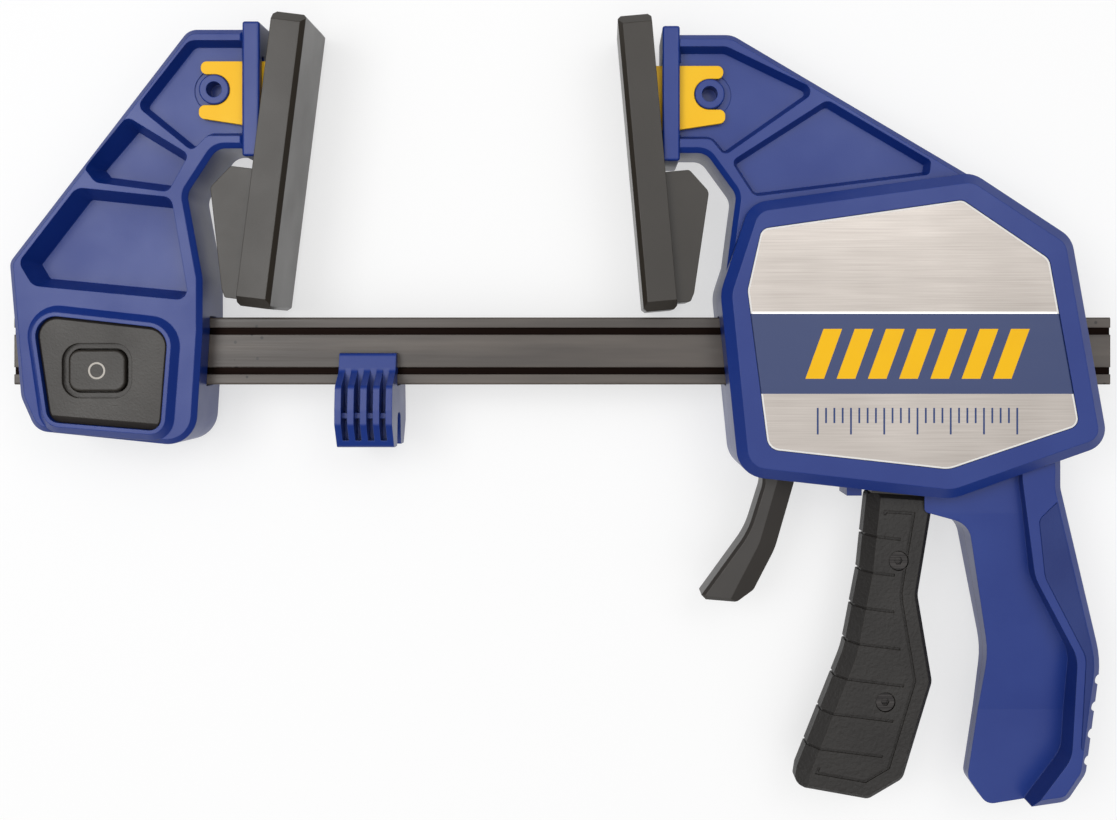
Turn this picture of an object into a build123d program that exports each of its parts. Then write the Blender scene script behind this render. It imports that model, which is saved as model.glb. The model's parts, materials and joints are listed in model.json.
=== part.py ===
from build123d import *
import math
import os

# One-handed bar clamp, lying on its side: X runs along the bar, Y points up the jaws, Z is the depth.
# The pieces are drawn about the bar's axis and the clamp's middle plane, and moved to the origin last.

# Bar
BAR_LENGTH = 342.6
BAR_HEIGHT = 21.0
BAR_THICKNESS = 6.4
BAR_LEFT = -170.6
BAR_CORNER = 0.6
GROOVE_HEIGHT = 2.2
GROOVE_DEPTH = 0.9
GROOVE_OFFSET = 6.2
BAR_CLEARANCE = 0.35
BAR_TOP = BAR_HEIGHT / 2
BAR_FACE = BAR_THICKNESS / 2

# Clamping heads, pads and clips
PAD_LENGTH = 90.6
PAD_BELOW_BOSS = 64.9
PAD_THICKNESS = 10.3
PAD_FACE = 26.2
PAD_DEPTH = 32.0
PAD_SIDE_WALL = 1.6
PAD_POCKET = 3.9
PAD_POCKET_ROOM = 1.0
PAD_POCKET_ABOVE = 3.4
PAD_END_CHAMFER = 2.8
PAD_CORNER_CHAMFER = 1.0
PAD_SIDE_CHAMFER = 1.4
PAD_TAIL_DEPTH = 25.0
PAD_TILT_FIXED = 7.1
PAD_TILT_MOVING = 5.1
HEAD_PLATE_NEAR = 9.3
HEAD_PLATE_THICKNESS = 5.3
HEAD_PLATE_ABOVE = 20.4
HEAD_PLATE_BELOW = 20.8
HEAD_CLEARANCE = 0.5
BOSS_RADIUS = 4.6
BOSS_BORE_RADIUS = 2.4
BOSS_BORE_DEPTH = 6.0
BOSS_HEIGHT = 3.3
BOSS_RING_RADIUS = 6.8
BOSS_RING_DEPTH = 0.3
CLIP_THICKNESS = 2.2
CLIP_GAP = 0.3
CLIP_ABOVE = 8.7
CLIP_BELOW = 10.9
CLIP_REACH = 4.2
CLIP_PRONG = 4.0
CLIP_SLOT_ROOM = 1.5
CLIP_TIP_RADIUS = 1.8
CLIP_LOWER_REACH = 4.8
CLIP_BASE_RAISE = 1.0
CLIP_BASE_THICKNESS = 2.2

# Jaw mouldings
JAW_DEPTH = 26.0
JAW_EDGE = 1.6
HEAD_POCKET = 5.0
ARM_POCKET = 10.0
POCKET_DRAFT = 15.0
CUT_MARGIN = 1.0
JAW_BOSS = (-106.0, 80.4)
ARM_BOSS = (46.2, 79.0)
JAW_HALF = JAW_DEPTH / 2

# Latch in the fixed jaw
LATCH_RIM = 1.3
LATCH_RIM_HEIGHT = 2.5
LATCH_RIM_SLOPE = 40.0
COVER_SINK = 1.2
COVER_THICKNESS = 4.4
COVER_FIT = 0.1
COVER_EDGE = 0.8
BUTTON_CENTRE = (-140.8, -5.9)
BUTTON_WIDTH = 17.3
BUTTON_HEIGHT = 12.7
BUTTON_CORNER = 3.4
BUTTON_GAP = 0.4
BUTTON_DISH = 2.0
BUTTON_DISH_DEPTH = 1.6
BUTTON_FLANGE = 1.8
BUTTON_FLANGE_THICKNESS = 2.0
BUTTON_TRAVEL = 3.0
KEY_WIDTH = 8.6
KEY_TOOTH = 2.8
KEY_LENGTH = 9.0
KEY_GAP = 0.3
NOTCH_ROOM = 0.4
LATCH_SPRING_RADIUS = 2.6
LATCH_SPRING_WIRE = 0.8
LATCH_SPRING_Z = 3.2
LATCH_SPRING_BORE = 6.0
COVER_SLOPE = 2.0
COVER_DROP = 1.2
LEG_BOTTOM = -17.5
RAMP_SUM = -7.0
KEY_BACK = 2.9
KEY_FRONT = 9.0
RIM_TOP = JAW_HALF + LATCH_RIM_HEIGHT
COVER_TOP = RIM_TOP - COVER_SINK
COVER_BACK = COVER_TOP - COVER_THICKNESS
FLANGE_TOP = COVER_BACK - KEY_GAP / 2
KEY_TOP = -BAR_TOP + KEY_TOOTH
KEY_BOTTOM = -BAR_TOP - KEY_LENGTH
KEY_SEAT = KEY_BOTTOM - BUTTON_TRAVEL - KEY_GAP

# Housing and handle
HOUSING_DEPTH = 40.0
HOUSING_EDGE = 3.2
HOUSING_WALL = 3.6
HOUSING_FACE_WALL = 3.4
PLATE_THICKNESS = 0.7
PLATE_RECESS = 1.0
PLATE_FIT = 0.15
HANDLE_WEB = 18.0
HANDLE_WEB_LOW = 6.0
HANDLE_SLOPE_TOP = -50.0
HANDLE_SLOPE_BOTTOM = -112.0
HANDLE_RIM = 27.0
HANDLE_EDGE = 2.4
GRIP_SINK = 1.4
GRIP_PROUD = 0.3
GRIP_NOTCHES = 4
GRIP_NOTCH_TOP = -100.7
GRIP_NOTCH_PITCH = 8.3
GRIP_NOTCH = 1.5
SCREW_RADIUS = 1.6
SCREW_HEAD_RADIUS = 3.2
SCREW_HEAD = 2.4
SCREW_SINK = 0.6
SCREW_BOSS_WALL = 2.4
SCREW_BITE = 6.0
HEX_SOCKET = 1.3
HOUSING_HALF = HOUSING_DEPTH / 2

# Trigger and drive
TRIGGER_PIVOT = (106.0, 25.0)
PIN_RADIUS = 2.5
PIN_CLEARANCE = 0.06
PIN_BOSS_WALL = 2.6
CHEEK_INNER = 4.2
CHEEK_OUTER = 8.0
SLOT_GAP = 0.7
TRIGGER_TONGUE = 3.0
TRIGGER_SLOT = (93.6, 123.5)
TRIGGER_SLOT_BOTTOM = -60.0
TRIGGER_SLOT_TOP = -30.0
TRIGGER_LIP_X = 89.0
TRIGGER_LIP_BOTTOM = -44.8
TRIGGER_LIP_HALF = 7.0
TRIGGER_FRAME = 5.0
TRIGGER_FRAME_LEFT = 9.0
TRIGGER_FRAME_TOP = -50.7
TRIGGER_FRAME_BOTTOM = -128.8
TRIGGER_GROOVE = 0.8
TRIGGER_RIBS = 7
TRIGGER_RIB_X = 100.0
TRIGGER_RIB_TOP = -57.6
TRIGGER_RIB_PITCH = 11.3
TRIGGER_RIB_TILT = -7.0
TRIGGER_RIB_END = 2.4
TRIGGER_FLANK_WIDTH = 3.6
TRIGGER_FLANK_LOW = 3.0
TRIGGER_SCREW_HEAD = 2.9
FORK_BOTTOM = -13.0
TRIGGER_GRIP_DEPTH = 16.0
TRIGGER_GRIP_EDGE = 1.2
TRIGGER_RIB_DEPTH = 0.7
DRIVE_PLATE_THICKNESS = 2.8
DRIVE_PLATE_COUNT = 2
DRIVE_PLATE_WIDTH = 22.0
DRIVE_PLATE_TOP = 15.0
DRIVE_PLATE_BOTTOM = -20.0
DRIVE_PLATE_X = 112.4
SPRING_WALL = 1.4
SPRING_RADIUS = 13.2
DRIVE_SEAT_X = 150.0

# Release lever and brake
BRAKE_PIVOT = (74.3, 22.5)
BRAKE_TILT = 6.0
BRAKE_PLATE_THICKNESS = 2.8
BRAKE_PLATE_COUNT = 2
BRAKE_PLATE_WIDTH = 20.0
BRAKE_PLATE_TOP = -6.5
BRAKE_PLATE_BOTTOM = -44.5
BRAKE_PLATE_X = -3.6
BRAKE_TONGUE = 4.5
BRAKE_PIN_RADIUS = 2.0
BRAKE_HOLE_ROOM = 1.2
BRAKE_LIP = 2.0
LEVER_DEPTH = 13.0
LEVER_EDGE = 1.0
LEVER_FLANK_WIDTH = 5.4
LEVER_FLANK_LOW = 4.2
LEVER_SLOT = (57.0, 84.0)
LEVER_SLOT_BOTTOM = -46.0
LEVER_SLOT_TOP = -28.0
BRAKE_SPRING_RADIUS = 3.0
BRAKE_SPRING_WALL = 0.8
BRAKE_SPRING_Y = -17.0
BRAKE_SEAT_X = 88.0
LEVER_BACK = 77.2

# Bar clip
CLIP_WIDTH = 17.6
CLIP_X = -59.6
CLIP_RIB_COUNT = 5
CLIP_SLOT_WIDTH = 1.9
CLIP_CORE = 7.4
CLIP_CROSSBAR = 12.0
CLIP_SLOT_TOP = -2.2
CLIP_SLOT_BOTTOM = -27.4
CLIP_BAR_LOW = -20.6
CLIP_BAR_HIGH = -18.9

# Outlines: x, y and corner radius, drawn on the faces nearest to the eye
JAW_OUTLINE = [
    (-96.0, 98.6, 0.0), (-113.6, 98.6, 5.0), (-168.5, 27.3, 4.0), (-165.0, -14.0, 8.0),
    (-160.4, -24.4, 6.0), (-111.6, -29.4, 9.0), (-109.4, 6.1, 10.0), (-109.4, 22.5, 10.0),
    (-114.1, 48.2, 5.0), (-105.0, 62.2, 5.0), (-96.0, 62.2, 0.0),
]
JAW_HEAD_POCKET = [
    (-96.8, 95.1, 0.0), (-113.2, 95.1, 4.0), (-129.0, 74.9, 2.5), (-112.2, 61.2, 2.0),
    (-107.6, 65.9, 3.0), (-96.8, 65.9, 0.0),
]
JAW_MIDDLE_POCKET = [
    (-132.1, 71.8, 2.5), (-113.1, 60.2, 2.0), (-119.5, 48.7, 2.5), (-141.7, 51.6, 3.0),
    (-145.4, 56.3, 2.0),
]
JAW_FOOT_POCKET = [
    (-147.5, 50.1, 4.0), (-118.5, 47.1, 3.0), (-113.1, 15.5, 3.0), (-160.9, 20.0, 4.0),
    (-165.2, 27.2, 3.0),
]
COVER_OUTLINE = [
    (-160.0, 11.4, 6.0), (-118.8, 6.8, 6.0), (-121.2, -24.2, 3.5), (-155.2, -21.4, 4.0),
]
PAD_TAIL_OUTLINE = [
    (17.0, -22.8, 0.0), (8.4, -22.8, 1.5), (3.0, -30.0, 2.5), (10.3, -60.5, 2.0), (11.6, -63.0, 0.8),
    (17.0, -63.0, 0.0),
]
ARM_OUTLINE = [
    (35.5, 97.0, 0.0), (53.0, 97.0, 7.0), (128.0, 52.6, 0.0), (128.0, 20.0, 0.0), (60.0, 20.0, 0.0),
    (50.4, 18.0, 2.0), (54.3, 48.0, 5.0), (45.0, 60.8, 5.0), (35.5, 60.8, 0.0),
]
ARM_HEAD_POCKET = [
    (36.2, 93.2, 0.0), (51.2, 93.2, 5.0), (79.2, 79.8, 2.5), (50.6, 59.8, 2.0), (46.4, 64.9, 3.0),
    (36.2, 64.9, 0.0),
]
ARM_MIDDLE_POCKET = [
    (82.0, 76.9, 3.0), (113.8, 58.2, 1.5), (113.2, 54.0, 1.5), (59.6, 47.3, 3.0), (52.6, 58.1, 2.0),
]
HOUSING_OUTLINE = [
    (49.0, 17.8, 12.0), (58.0, 45.0, 8.0), (125.3, 54.2, 9.0), (155.4, 34.4, 8.0), (166.4, -28.0, 7.0),
    (118.8, -44.8, 14.0), (54.6, -37.6, 9.0),
]
LABEL_OUTLINE = [
    (57.0, 18.4, 4.0), (61.2, 36.9, 3.0), (121.6, 45.5, 3.0), (147.6, 27.8, 4.0), (156.6, -22.2, 3.0),
    (117.4, -35.4, 9.0), (63.2, -29.4, 4.0),
]
HANDLE_OUTLINE = [
    (112.6, -30.0, 0.0), (112.6, -49.6, 1.5), (126.4, -53.4, 7.0), (133.4, -94.0, 30.0),
    (127.4, -133.2, 4.0), (133.4, -141.8, 4.0), (155.8, -138.2, 5.0), (161.6, -129.6, 6.0),
    (166.2, -94.8, 30.0), (153.8, -42.0, 8.0), (153.8, -30.0, 0.0),
]
HANDLE_RIM_OUTLINE = [
    (140.8, -30.0, 0.0), (141.6, -40.0, 8.0), (145.4, -69.2, 14.0), (158.4, -93.6, 12.0),
    (156.6, -124.4, 10.0), (145.0, -139.8, 0.0), *HANDLE_OUTLINE[6:],
]
GRIP_OUTLINE = [
    (154.6, -43.6, 0.0), (146.6, -51.4, 3.0), (148.4, -69.0, 10.0), (161.0, -93.4, 8.0),
    (159.4, -122.0, 2.0), (170.0, -125.4, 0.0), (172.0, -94.8, 0.0), (160.0, -43.6, 0.0),
]
LEVER_OUTLINE = [
    (71.4, 28.0, 3.0), (68.4, -9.0, 1.0), (60.2, -12.6, 2.0), (59.6, -29.0, 3.0), (63.4, -40.0, 8.0),
    (58.4, -56.0, 26.0), (44.0, -75.8, 0.0), (45.4, -77.2, 0.0), (55.0, -78.0, 2.5), (60.4, -74.4, 3.0),
    (67.0, -61.6, 22.0), (73.8, -38.0, 12.0), (77.0, -24.0, 3.0), (77.0, -10.0, 4.0), (78.8, 28.0, 3.0),
]
LEVER_SIDE = [
    (52.3, -90.0, 0.0), (67.0, -61.6, 22.0), (73.8, -38.0, 12.0), (75.2, -32.0, 0.0), (120.0, -32.0, 0.0),
    (120.0, 60.0, 0.0), (0.0, 60.0, 0.0), (0.0, -90.0, 0.0),
]
CORE_OUTLINE = [
    (99.6, 31.5, 6.0), (99.0, 8.0, 4.0), (95.4, -16.0, 8.0), (96.6, -43.8, 0.0), (113.6, -44.9, 0.0),
    (111.6, -22.0, 4.0), (111.6, -14.0, 4.0), (112.2, 31.5, 6.0),
]
TONGUE_OUTLINE = [
    (99.6, -40.0, 0.0), (97.6, -66.0, 20.0), (93.0, -93.0, 20.0), (79.6, -127.0, 2.0), (96.0, -130.4, 3.0),
    (109.6, -102.0, 6.0), (106.4, -76.0, 8.0), (110.6, -50.0, 0.0), (110.6, -40.0, 0.0),
]
TRIGGER_LEFT = [(93.4, -67.8, 30.0), (88.6, -93.0, 30.0), (74.0, -129.8, 3.0)]
TRIGGER_OUTLINE = [
    (95.9, -43.9, 1.5), *TRIGGER_LEFT, (73.2, -134.8, 2.0), (95.6, -138.8, 3.0), (106.3, -132.5, 4.0),
    (115.4, -102.4, 5.0), (110.9, -75.5, 8.0), (115.1, -49.8, 2.0), (115.1, -45.2, 1.5),
]
TRIGGER_SIDE = [
    (97.3, -30.0, 0.0), *TRIGGER_LEFT, (70.8, -150.0, 0.0), (160.0, -150.0, 0.0), (160.0, -30.0, 0.0),
]
CLIP_PROFILE = [
    (0.0, -BAR_TOP - BAR_CLEARANCE, 0.0), (BAR_FACE + BAR_CLEARANCE, -BAR_TOP - BAR_CLEARANCE, 0.0),
    (BAR_FACE + BAR_CLEARANCE, -0.6, 0.0), (6.4, -0.6, 1.2), (7.6, -6.4, 2.0), (13.8, -10.8, 2.0),
    (14.6, -17.8, 1.5), (14.6, -22.4, 1.5), (10.2, -29.6, 1.5), (4.0, -29.6, 0.8), (3.2, -20.0, 1.5),
    (0.0, -19.0, 0.0),
]
TRIGGER_SCREWS = [(104.9, -64.9), (100.8, -108.6)]
BODY_SCREWS = [(62.6, 37.0), (137.0, 31.0), (151.4, -21.0), (86.8, -30.6)]
HANDLE_SCREWS = [(147.2, -43.4), (154.6, -131.0)]
ARM_SCREW = (62.0, 79.0)


def face(points):
    """A flat face on the middle plane from x, y and corner radius."""
    spots = [(x, y) for x, y, _ in points]
    return make_face(FilletPolyline(*spots, radius=[r for _, _, r in points], close=True))


def slab(shape, low, high):
    """The face stood up between two depths."""
    return extrude(Pos(0, 0, low) * shape, amount=high - low, dir=(0, 0, 1))


def block(x0, x1, y0, y1, z0, z1):
    """A box given by its sides."""
    return Pos((x0 + x1) / 2, (y0 + y1) / 2, (z0 + z1) / 2) * Box(x1 - x0, y1 - y0, z1 - z0)


def rod(spot, radius, low, high):
    """A round bar along Z between two depths."""
    return Pos(spot[0], spot[1], (low + high) / 2) * Cylinder(radius, high - low)


def both_sides(tool):
    """The tool and its twin behind the middle plane."""
    return [tool, mirror(tool, about=Plane.XY)]


def outer_edges(solid, *depths):
    """Edges of the outside outline that lie in the given depths."""
    picked = ShapeList()
    for depth in depths:
        top = solid.faces().filter_by(Axis.Z).filter_by(lambda f: abs(f.center().Z - depth) < 1e-4)
        for side in top:
            picked += side.outer_wire().edges()
    return picked


def bevelled(outline, low, high, width):
    """A slab on both sides of the middle plane, drawn in by the width between two depths."""
    slope = math.degrees(math.atan2(width, high - low))
    upper = extrude(Pos(0, 0, low) * outline, amount=high - low, dir=(0, 0, 1), taper=slope)
    return slab(outline, -low, low) + upper + mirror(upper, about=Plane.XY)


def pocket(points, depth):
    """A drafted recess from the front of the jaw, as a tool to cut with."""
    return extrude(Pos(0, 0, JAW_HALF) * face(points), amount=depth, dir=(0, 0, -1), taper=POCKET_DRAFT)


def jaw_head(boss, side):
    """Head plate and bosses of a jaw, drawn for the side that the pad is on (1 right, -1 left)."""
    x, y = boss
    near = x + side * HEAD_PLATE_NEAR
    far = near + side * HEAD_PLATE_THICKNESS
    half = PAD_DEPTH / 2 - PAD_SIDE_WALL - HEAD_CLEARANCE
    plate = block(min(near, far), max(near, far), y - HEAD_PLATE_BELOW, y + HEAD_PLATE_ABOVE, -half, half)
    plate = fillet(plate.edges(), JAW_EDGE / 2)
    floor = JAW_HALF - HEAD_POCKET
    stud = rod(boss, BOSS_RADIUS, 0, floor + BOSS_HEIGHT)
    stud = chamfer(stud.edges().group_by(Axis.Z)[-1], CLIP_GAP)
    return [plate, *both_sides(stud)]


def head_cuts(boss, side):
    """Slots for the clip's arms, and the bores and shallow rings of the bosses."""
    x, y = boss
    floor = JAW_HALF - HEAD_POCKET
    near = x + side * (HEAD_PLATE_NEAR - HEAD_POCKET / 2)
    far = x + side * (HEAD_PLATE_NEAR + HEAD_PLATE_THICKNESS + HEAD_CLEARANCE)
    low = y - CLIP_BELOW - CLIP_SLOT_ROOM
    high = y + CLIP_ABOVE + CLIP_SLOT_ROOM
    slot = block(min(near, far), max(near, far), low, high, floor, floor + CLIP_THICKNESS + 2 * CLIP_GAP)
    top = floor + BOSS_HEIGHT
    bore = rod(boss, BOSS_BORE_RADIUS, top - BOSS_BORE_DEPTH, top + HEAD_CLEARANCE)
    ring = rod(boss, BOSS_RING_RADIUS, floor - BOSS_RING_DEPTH, floor + BOSS_RING_DEPTH)
    ring -= rod(boss, BOSS_RADIUS, 0, floor + BOSS_HEIGHT)
    return [*both_sides(slot), *both_sides(bore), *both_sides(ring)]


def button_face(grow):
    """The push button's outline, grown all round."""
    shape = RectangleRounded(BUTTON_WIDTH + 2 * grow, BUTTON_HEIGHT + 2 * grow, BUTTON_CORNER + grow)
    return Pos(BUTTON_CENTRE[0], BUTTON_CENTRE[1]) * shape


def bar():
    """The steel bar, with long grooves and the notch that the latch key drops into."""
    section = Rectangle(BAR_THICKNESS, BAR_HEIGHT)
    section = fillet(section.vertices(), BAR_CORNER)
    for level in (-GROOVE_OFFSET, GROOVE_OFFSET):
        for edge in (-BAR_FACE, BAR_FACE):
            section -= Pos(edge, level) * Rectangle(2 * GROOVE_DEPTH, GROOVE_HEIGHT)
    plane = Plane(origin=(BAR_LEFT, 0, 0), x_dir=(0, 0, -1), z_dir=(1, 0, 0))
    solid = extrude(plane * section, amount=BAR_LENGTH)
    half = KEY_WIDTH / 2 + NOTCH_ROOM
    x = BUTTON_CENTRE[0]
    notch = block(x - half, x + half, -BAR_HEIGHT, KEY_TOP + NOTCH_ROOM, -BAR_THICKNESS, BAR_THICKNESS)
    return solid - notch


def bar_passage(x0, x1):
    """The space that the bar needs between two places along it."""
    return block(x0, x1, -BAR_TOP - BAR_CLEARANCE, BAR_TOP + BAR_CLEARANCE,
                 -BAR_FACE - BAR_CLEARANCE, BAR_FACE + BAR_CLEARANCE)


def cover_face(grow):
    """The latch cover's outline, grown all round."""
    plain = face(COVER_OUTLINE)
    return offset(plain, amount=grow) if grow else plain


def fixed_jaw():
    """The jaw moulding at the bar's end, with its recesses, latch space and bar passage."""
    outline = face(JAW_OUTLINE)
    solid = slab(outline, -JAW_HALF, JAW_HALF)
    solid = chamfer(outer_edges(solid, JAW_HALF, -JAW_HALF), JAW_EDGE)
    depths = (HEAD_POCKET, ARM_POCKET, ARM_POCKET)
    for points, depth in zip((JAW_HEAD_POCKET, JAW_MIDDLE_POCKET, JAW_FOOT_POCKET), depths):
        for tool in both_sides(pocket(points, depth)):
            solid -= tool
    slope = math.tan(math.radians(LATCH_RIM_SLOPE)) * LATCH_RIM_HEIGHT
    raised = extrude(Pos(0, 0, JAW_HALF) * cover_face(LATCH_RIM + slope), amount=LATCH_RIM_HEIGHT,
                     taper=LATCH_RIM_SLOPE)
    solid += raised & slab(outline, 0, HOUSING_DEPTH)
    for piece in jaw_head(JAW_BOSS, 1):
        solid += piece
    for tool in head_cuts(JAW_BOSS, 1):
        solid -= tool
    solid -= slab(cover_face(COVER_FIT), COVER_BACK, HOUSING_DEPTH)
    x, y = BUTTON_CENTRE
    half = BUTTON_WIDTH / 2 + BUTTON_FLANGE + BUTTON_GAP
    tall = BUTTON_HEIGHT / 2 + BUTTON_FLANGE + BUTTON_GAP
    solid -= block(x - half, x + half, LEG_BOTTOM - KEY_GAP, y + tall, BAR_FACE, COVER_BACK)
    half = KEY_WIDTH / 2 + KEY_GAP
    solid -= block(x - half, x + half, KEY_SEAT, 0, -KEY_BACK - KEY_GAP, KEY_FRONT + KEY_GAP)
    return solid - bar_passage(BAR_LEFT - PAD_LENGTH, JAW_BOSS[0])


def latch_cover():
    """The cover in the jaw's foot, dished round the button and sloped off at the bottom."""
    solid = slab(cover_face(0), COVER_BACK, COVER_TOP)
    solid = chamfer(outer_edges(solid, COVER_TOP), COVER_EDGE)
    right, left = COVER_OUTLINE[2], COVER_OUTLINE[3]
    lean = math.degrees(math.atan2(right[1] - left[1], right[0] - left[0]))
    fall = math.degrees(math.atan2(COVER_DROP, COVER_SLOPE))
    reach = HOUSING_DEPTH
    foot = Pos((right[0] + left[0]) / 2, (right[1] + left[1]) / 2, COVER_TOP) * Rot(Z=lean)
    solid -= foot * Pos(0, COVER_SLOPE, 0) * Rot(X=fall) * Pos(0, 0, reach / 2) * Box(2 * reach, reach, reach)
    return solid - slab(button_face(BUTTON_GAP), 0, HOUSING_DEPTH) - slab(
        button_face(BUTTON_DISH), COVER_TOP - BUTTON_DISH_DEPTH, HOUSING_DEPTH)


def push_button():
    """The button, its hidden flange and the leg whose slope drives the latch key down."""
    x, y = BUTTON_CENTRE
    solid = slab(button_face(0), FLANGE_TOP - BUTTON_FLANGE_THICKNESS, COVER_TOP)
    solid = fillet(solid.edges().group_by(Axis.Z)[-1], BUTTON_GAP * 2)
    solid += slab(button_face(BUTTON_FLANGE), FLANGE_TOP - BUTTON_FLANGE_THICKNESS, FLANGE_TOP)
    half = KEY_WIDTH / 2 - KEY_GAP
    back = BAR_FACE + BUTTON_TRAVEL + KEY_GAP
    leg = block(x - half, x + half, LEG_BOTTOM, y - BUTTON_HEIGHT / 2, back, FLANGE_TOP)
    return solid + leg - ramp_space(KEY_GAP)


def ramp_space(gap):
    """Everything below and behind the slope between the button's leg and the latch key."""
    reach = HOUSING_DEPTH
    middle = Pos(BUTTON_CENTRE[0], RAMP_SUM + gap, 0) * Rot(X=45)
    return middle * Pos(0, -reach / 2, 0) * Box(reach, reach, 4 * reach)


def latch_key():
    """The key whose tooth stands in the bar's notch."""
    x = BUTTON_CENTRE[0]
    half = KEY_WIDTH / 2
    solid = block(x - half, x + half, KEY_BOTTOM, KEY_TOP, -KEY_BACK, BAR_FACE)
    shelf = block(x - half, x + half, KEY_BOTTOM, -BAR_TOP - BAR_CLEARANCE, -KEY_BACK, KEY_FRONT)
    solid += shelf & ramp_space(0)
    bore = Pos(x, KEY_BOTTOM, LATCH_SPRING_Z) * Rot(X=90) * Cylinder(
        LATCH_SPRING_RADIUS + KEY_GAP, 2 * LATCH_SPRING_BORE)
    return solid - bore


def latch_spring():
    """The spring under the latch key, as a sleeve of its outer size."""
    length = KEY_BOTTOM + LATCH_SPRING_BORE - KEY_SEAT
    middle = Pos(BUTTON_CENTRE[0], KEY_SEAT + length / 2, LATCH_SPRING_Z) * Rot(X=90)
    return middle * (Cylinder(LATCH_SPRING_RADIUS, length)
                     - Cylinder(LATCH_SPRING_RADIUS - LATCH_SPRING_WIRE, length))


def pad():
    """A clamping pad about its boss, with the face on the right."""
    back = PAD_FACE - PAD_THICKNESS
    half = PAD_DEPTH / 2
    solid = block(back, PAD_FACE, -PAD_BELOW_BOSS, PAD_LENGTH - PAD_BELOW_BOSS, -half, half)
    ends = solid.edges().group_by(Axis.Y)[0] + solid.edges().group_by(Axis.Y)[-1]
    solid = chamfer(ends.filter_by(Axis.X), PAD_END_CHAMFER)
    solid = chamfer(solid.edges().filter_by(Axis.Y).group_by(Axis.X)[-1], PAD_SIDE_CHAMFER)
    ends = solid.edges().filter_by(Axis.Z).sort_by(Axis.Y)
    solid = chamfer(ends[:2] + ends[-2:], PAD_CORNER_CHAMFER)
    solid += slab(face(PAD_TAIL_OUTLINE), -PAD_TAIL_DEPTH / 2, PAD_TAIL_DEPTH / 2)
    inner = half - PAD_SIDE_WALL
    bottom = -HEAD_PLATE_BELOW - PAD_POCKET_ROOM
    top = CLIP_ABOVE + PAD_POCKET_ABOVE
    return solid - block(back - CUT_MARGIN, back + PAD_POCKET, bottom, top, -inner, inner)


def pad_clip(tilt):
    """The fork that holds a pad on its boss: two arms and the base behind the head plate."""
    floor = JAW_HALF - HEAD_POCKET + CLIP_GAP
    mouth = BOSS_RADIUS + CLIP_GAP / 2
    seat = PAD_FACE - PAD_THICKNESS + PAD_POCKET
    upper = -CLIP_REACH
    lower = -CLIP_LOWER_REACH
    low = -mouth - CLIP_PRONG
    base_x = seat - CLIP_BASE_THICKNESS
    arm = face([
        (upper, CLIP_ABOVE, CLIP_TIP_RADIUS), (upper, mouth, CLIP_TIP_RADIUS), (0, mouth, 0), (0, -mouth, 0),
        (lower, -mouth, CLIP_TIP_RADIUS), (lower, low, CLIP_TIP_RADIUS),
        (HEAD_PLATE_NEAR, -CLIP_BELOW, 0), (base_x, -CLIP_BELOW, 0), (base_x, CLIP_ABOVE, 0),
    ])
    arm -= Circle(mouth)
    sides = both_sides(slab(arm, floor, floor + CLIP_THICKNESS))
    wide = floor + CLIP_THICKNESS
    solid = Rot(Z=-tilt) * block(base_x, seat, CLIP_BASE_RAISE - CLIP_BELOW, CLIP_ABOVE, -wide, wide)
    for side in sides:
        solid += side
    return solid


def place_pad(solid, boss, side, tilt):
    """A piece drawn about its boss, put on that boss facing right (1) or left (-1)."""
    turned = solid if side > 0 else mirror(solid, about=Plane.YZ)
    return Pos(boss[0], boss[1], 0) * Rot(Z=-side * tilt) * turned


def arm_body():
    """The moving jaw's arm, with its recesses on both sides."""
    solid = slab(face(ARM_OUTLINE), -JAW_HALF, JAW_HALF)
    solid = chamfer(outer_edges(solid, JAW_HALF, -JAW_HALF), JAW_EDGE)
    for points in (ARM_HEAD_POCKET, ARM_MIDDLE_POCKET):
        for tool in both_sides(pocket(points, HEAD_POCKET)):
            solid -= tool
    for piece in jaw_head(ARM_BOSS, -1):
        solid += piece
    return solid


def handle_body():
    """The handle: a web that thins downwards and a deeper rim with a notched back."""
    half = HANDLE_WEB / 2
    thin = HANDLE_WEB_LOW / 2
    outline = face(HANDLE_OUTLINE)
    web = slab(outline, -half, half)
    low = outline.bounding_box().min.Y - CUT_MARGIN
    scoop = face([
        (HANDLE_SLOPE_TOP, half, 0), (HANDLE_SLOPE_BOTTOM, thin, 0), (low, thin, 0), (low, HOUSING_DEPTH, 0),
        (HANDLE_SLOPE_TOP, HOUSING_DEPTH, 0),
    ])
    for tool in both_sides(extrude(Plane.YZ * scoop, amount=BAR_LENGTH)):
        web -= tool
    half = HANDLE_RIM / 2
    rim = slab(face(HANDLE_RIM_OUTLINE), -half, half)
    border = outline.face().outer_wire()
    back = outer_edges(rim, half, -half).filter_by(
        lambda edge: border.distance_to(Vector((edge @ 0.5).X, (edge @ 0.5).Y, 0)) < PIN_CLEARANCE)
    solid = web + chamfer(back, HANDLE_EDGE)
    (low_x, low_y, _), (high_x, high_y, _) = HANDLE_OUTLINE[7:9]
    for step in range(GRIP_NOTCHES):
        y = GRIP_NOTCH_TOP - step * GRIP_NOTCH_PITCH
        x = low_x + (high_x - low_x) * (y - low_y) / (high_y - low_y)
        solid -= rod((x, y), GRIP_NOTCH, -half, half)
    return solid


def grip_face():
    """The handle grip's outline, kept inside the rim's chamfer."""
    return face(GRIP_OUTLINE) & offset(face(HANDLE_OUTLINE), amount=-HANDLE_EDGE - GRIP_PROUD)


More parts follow.
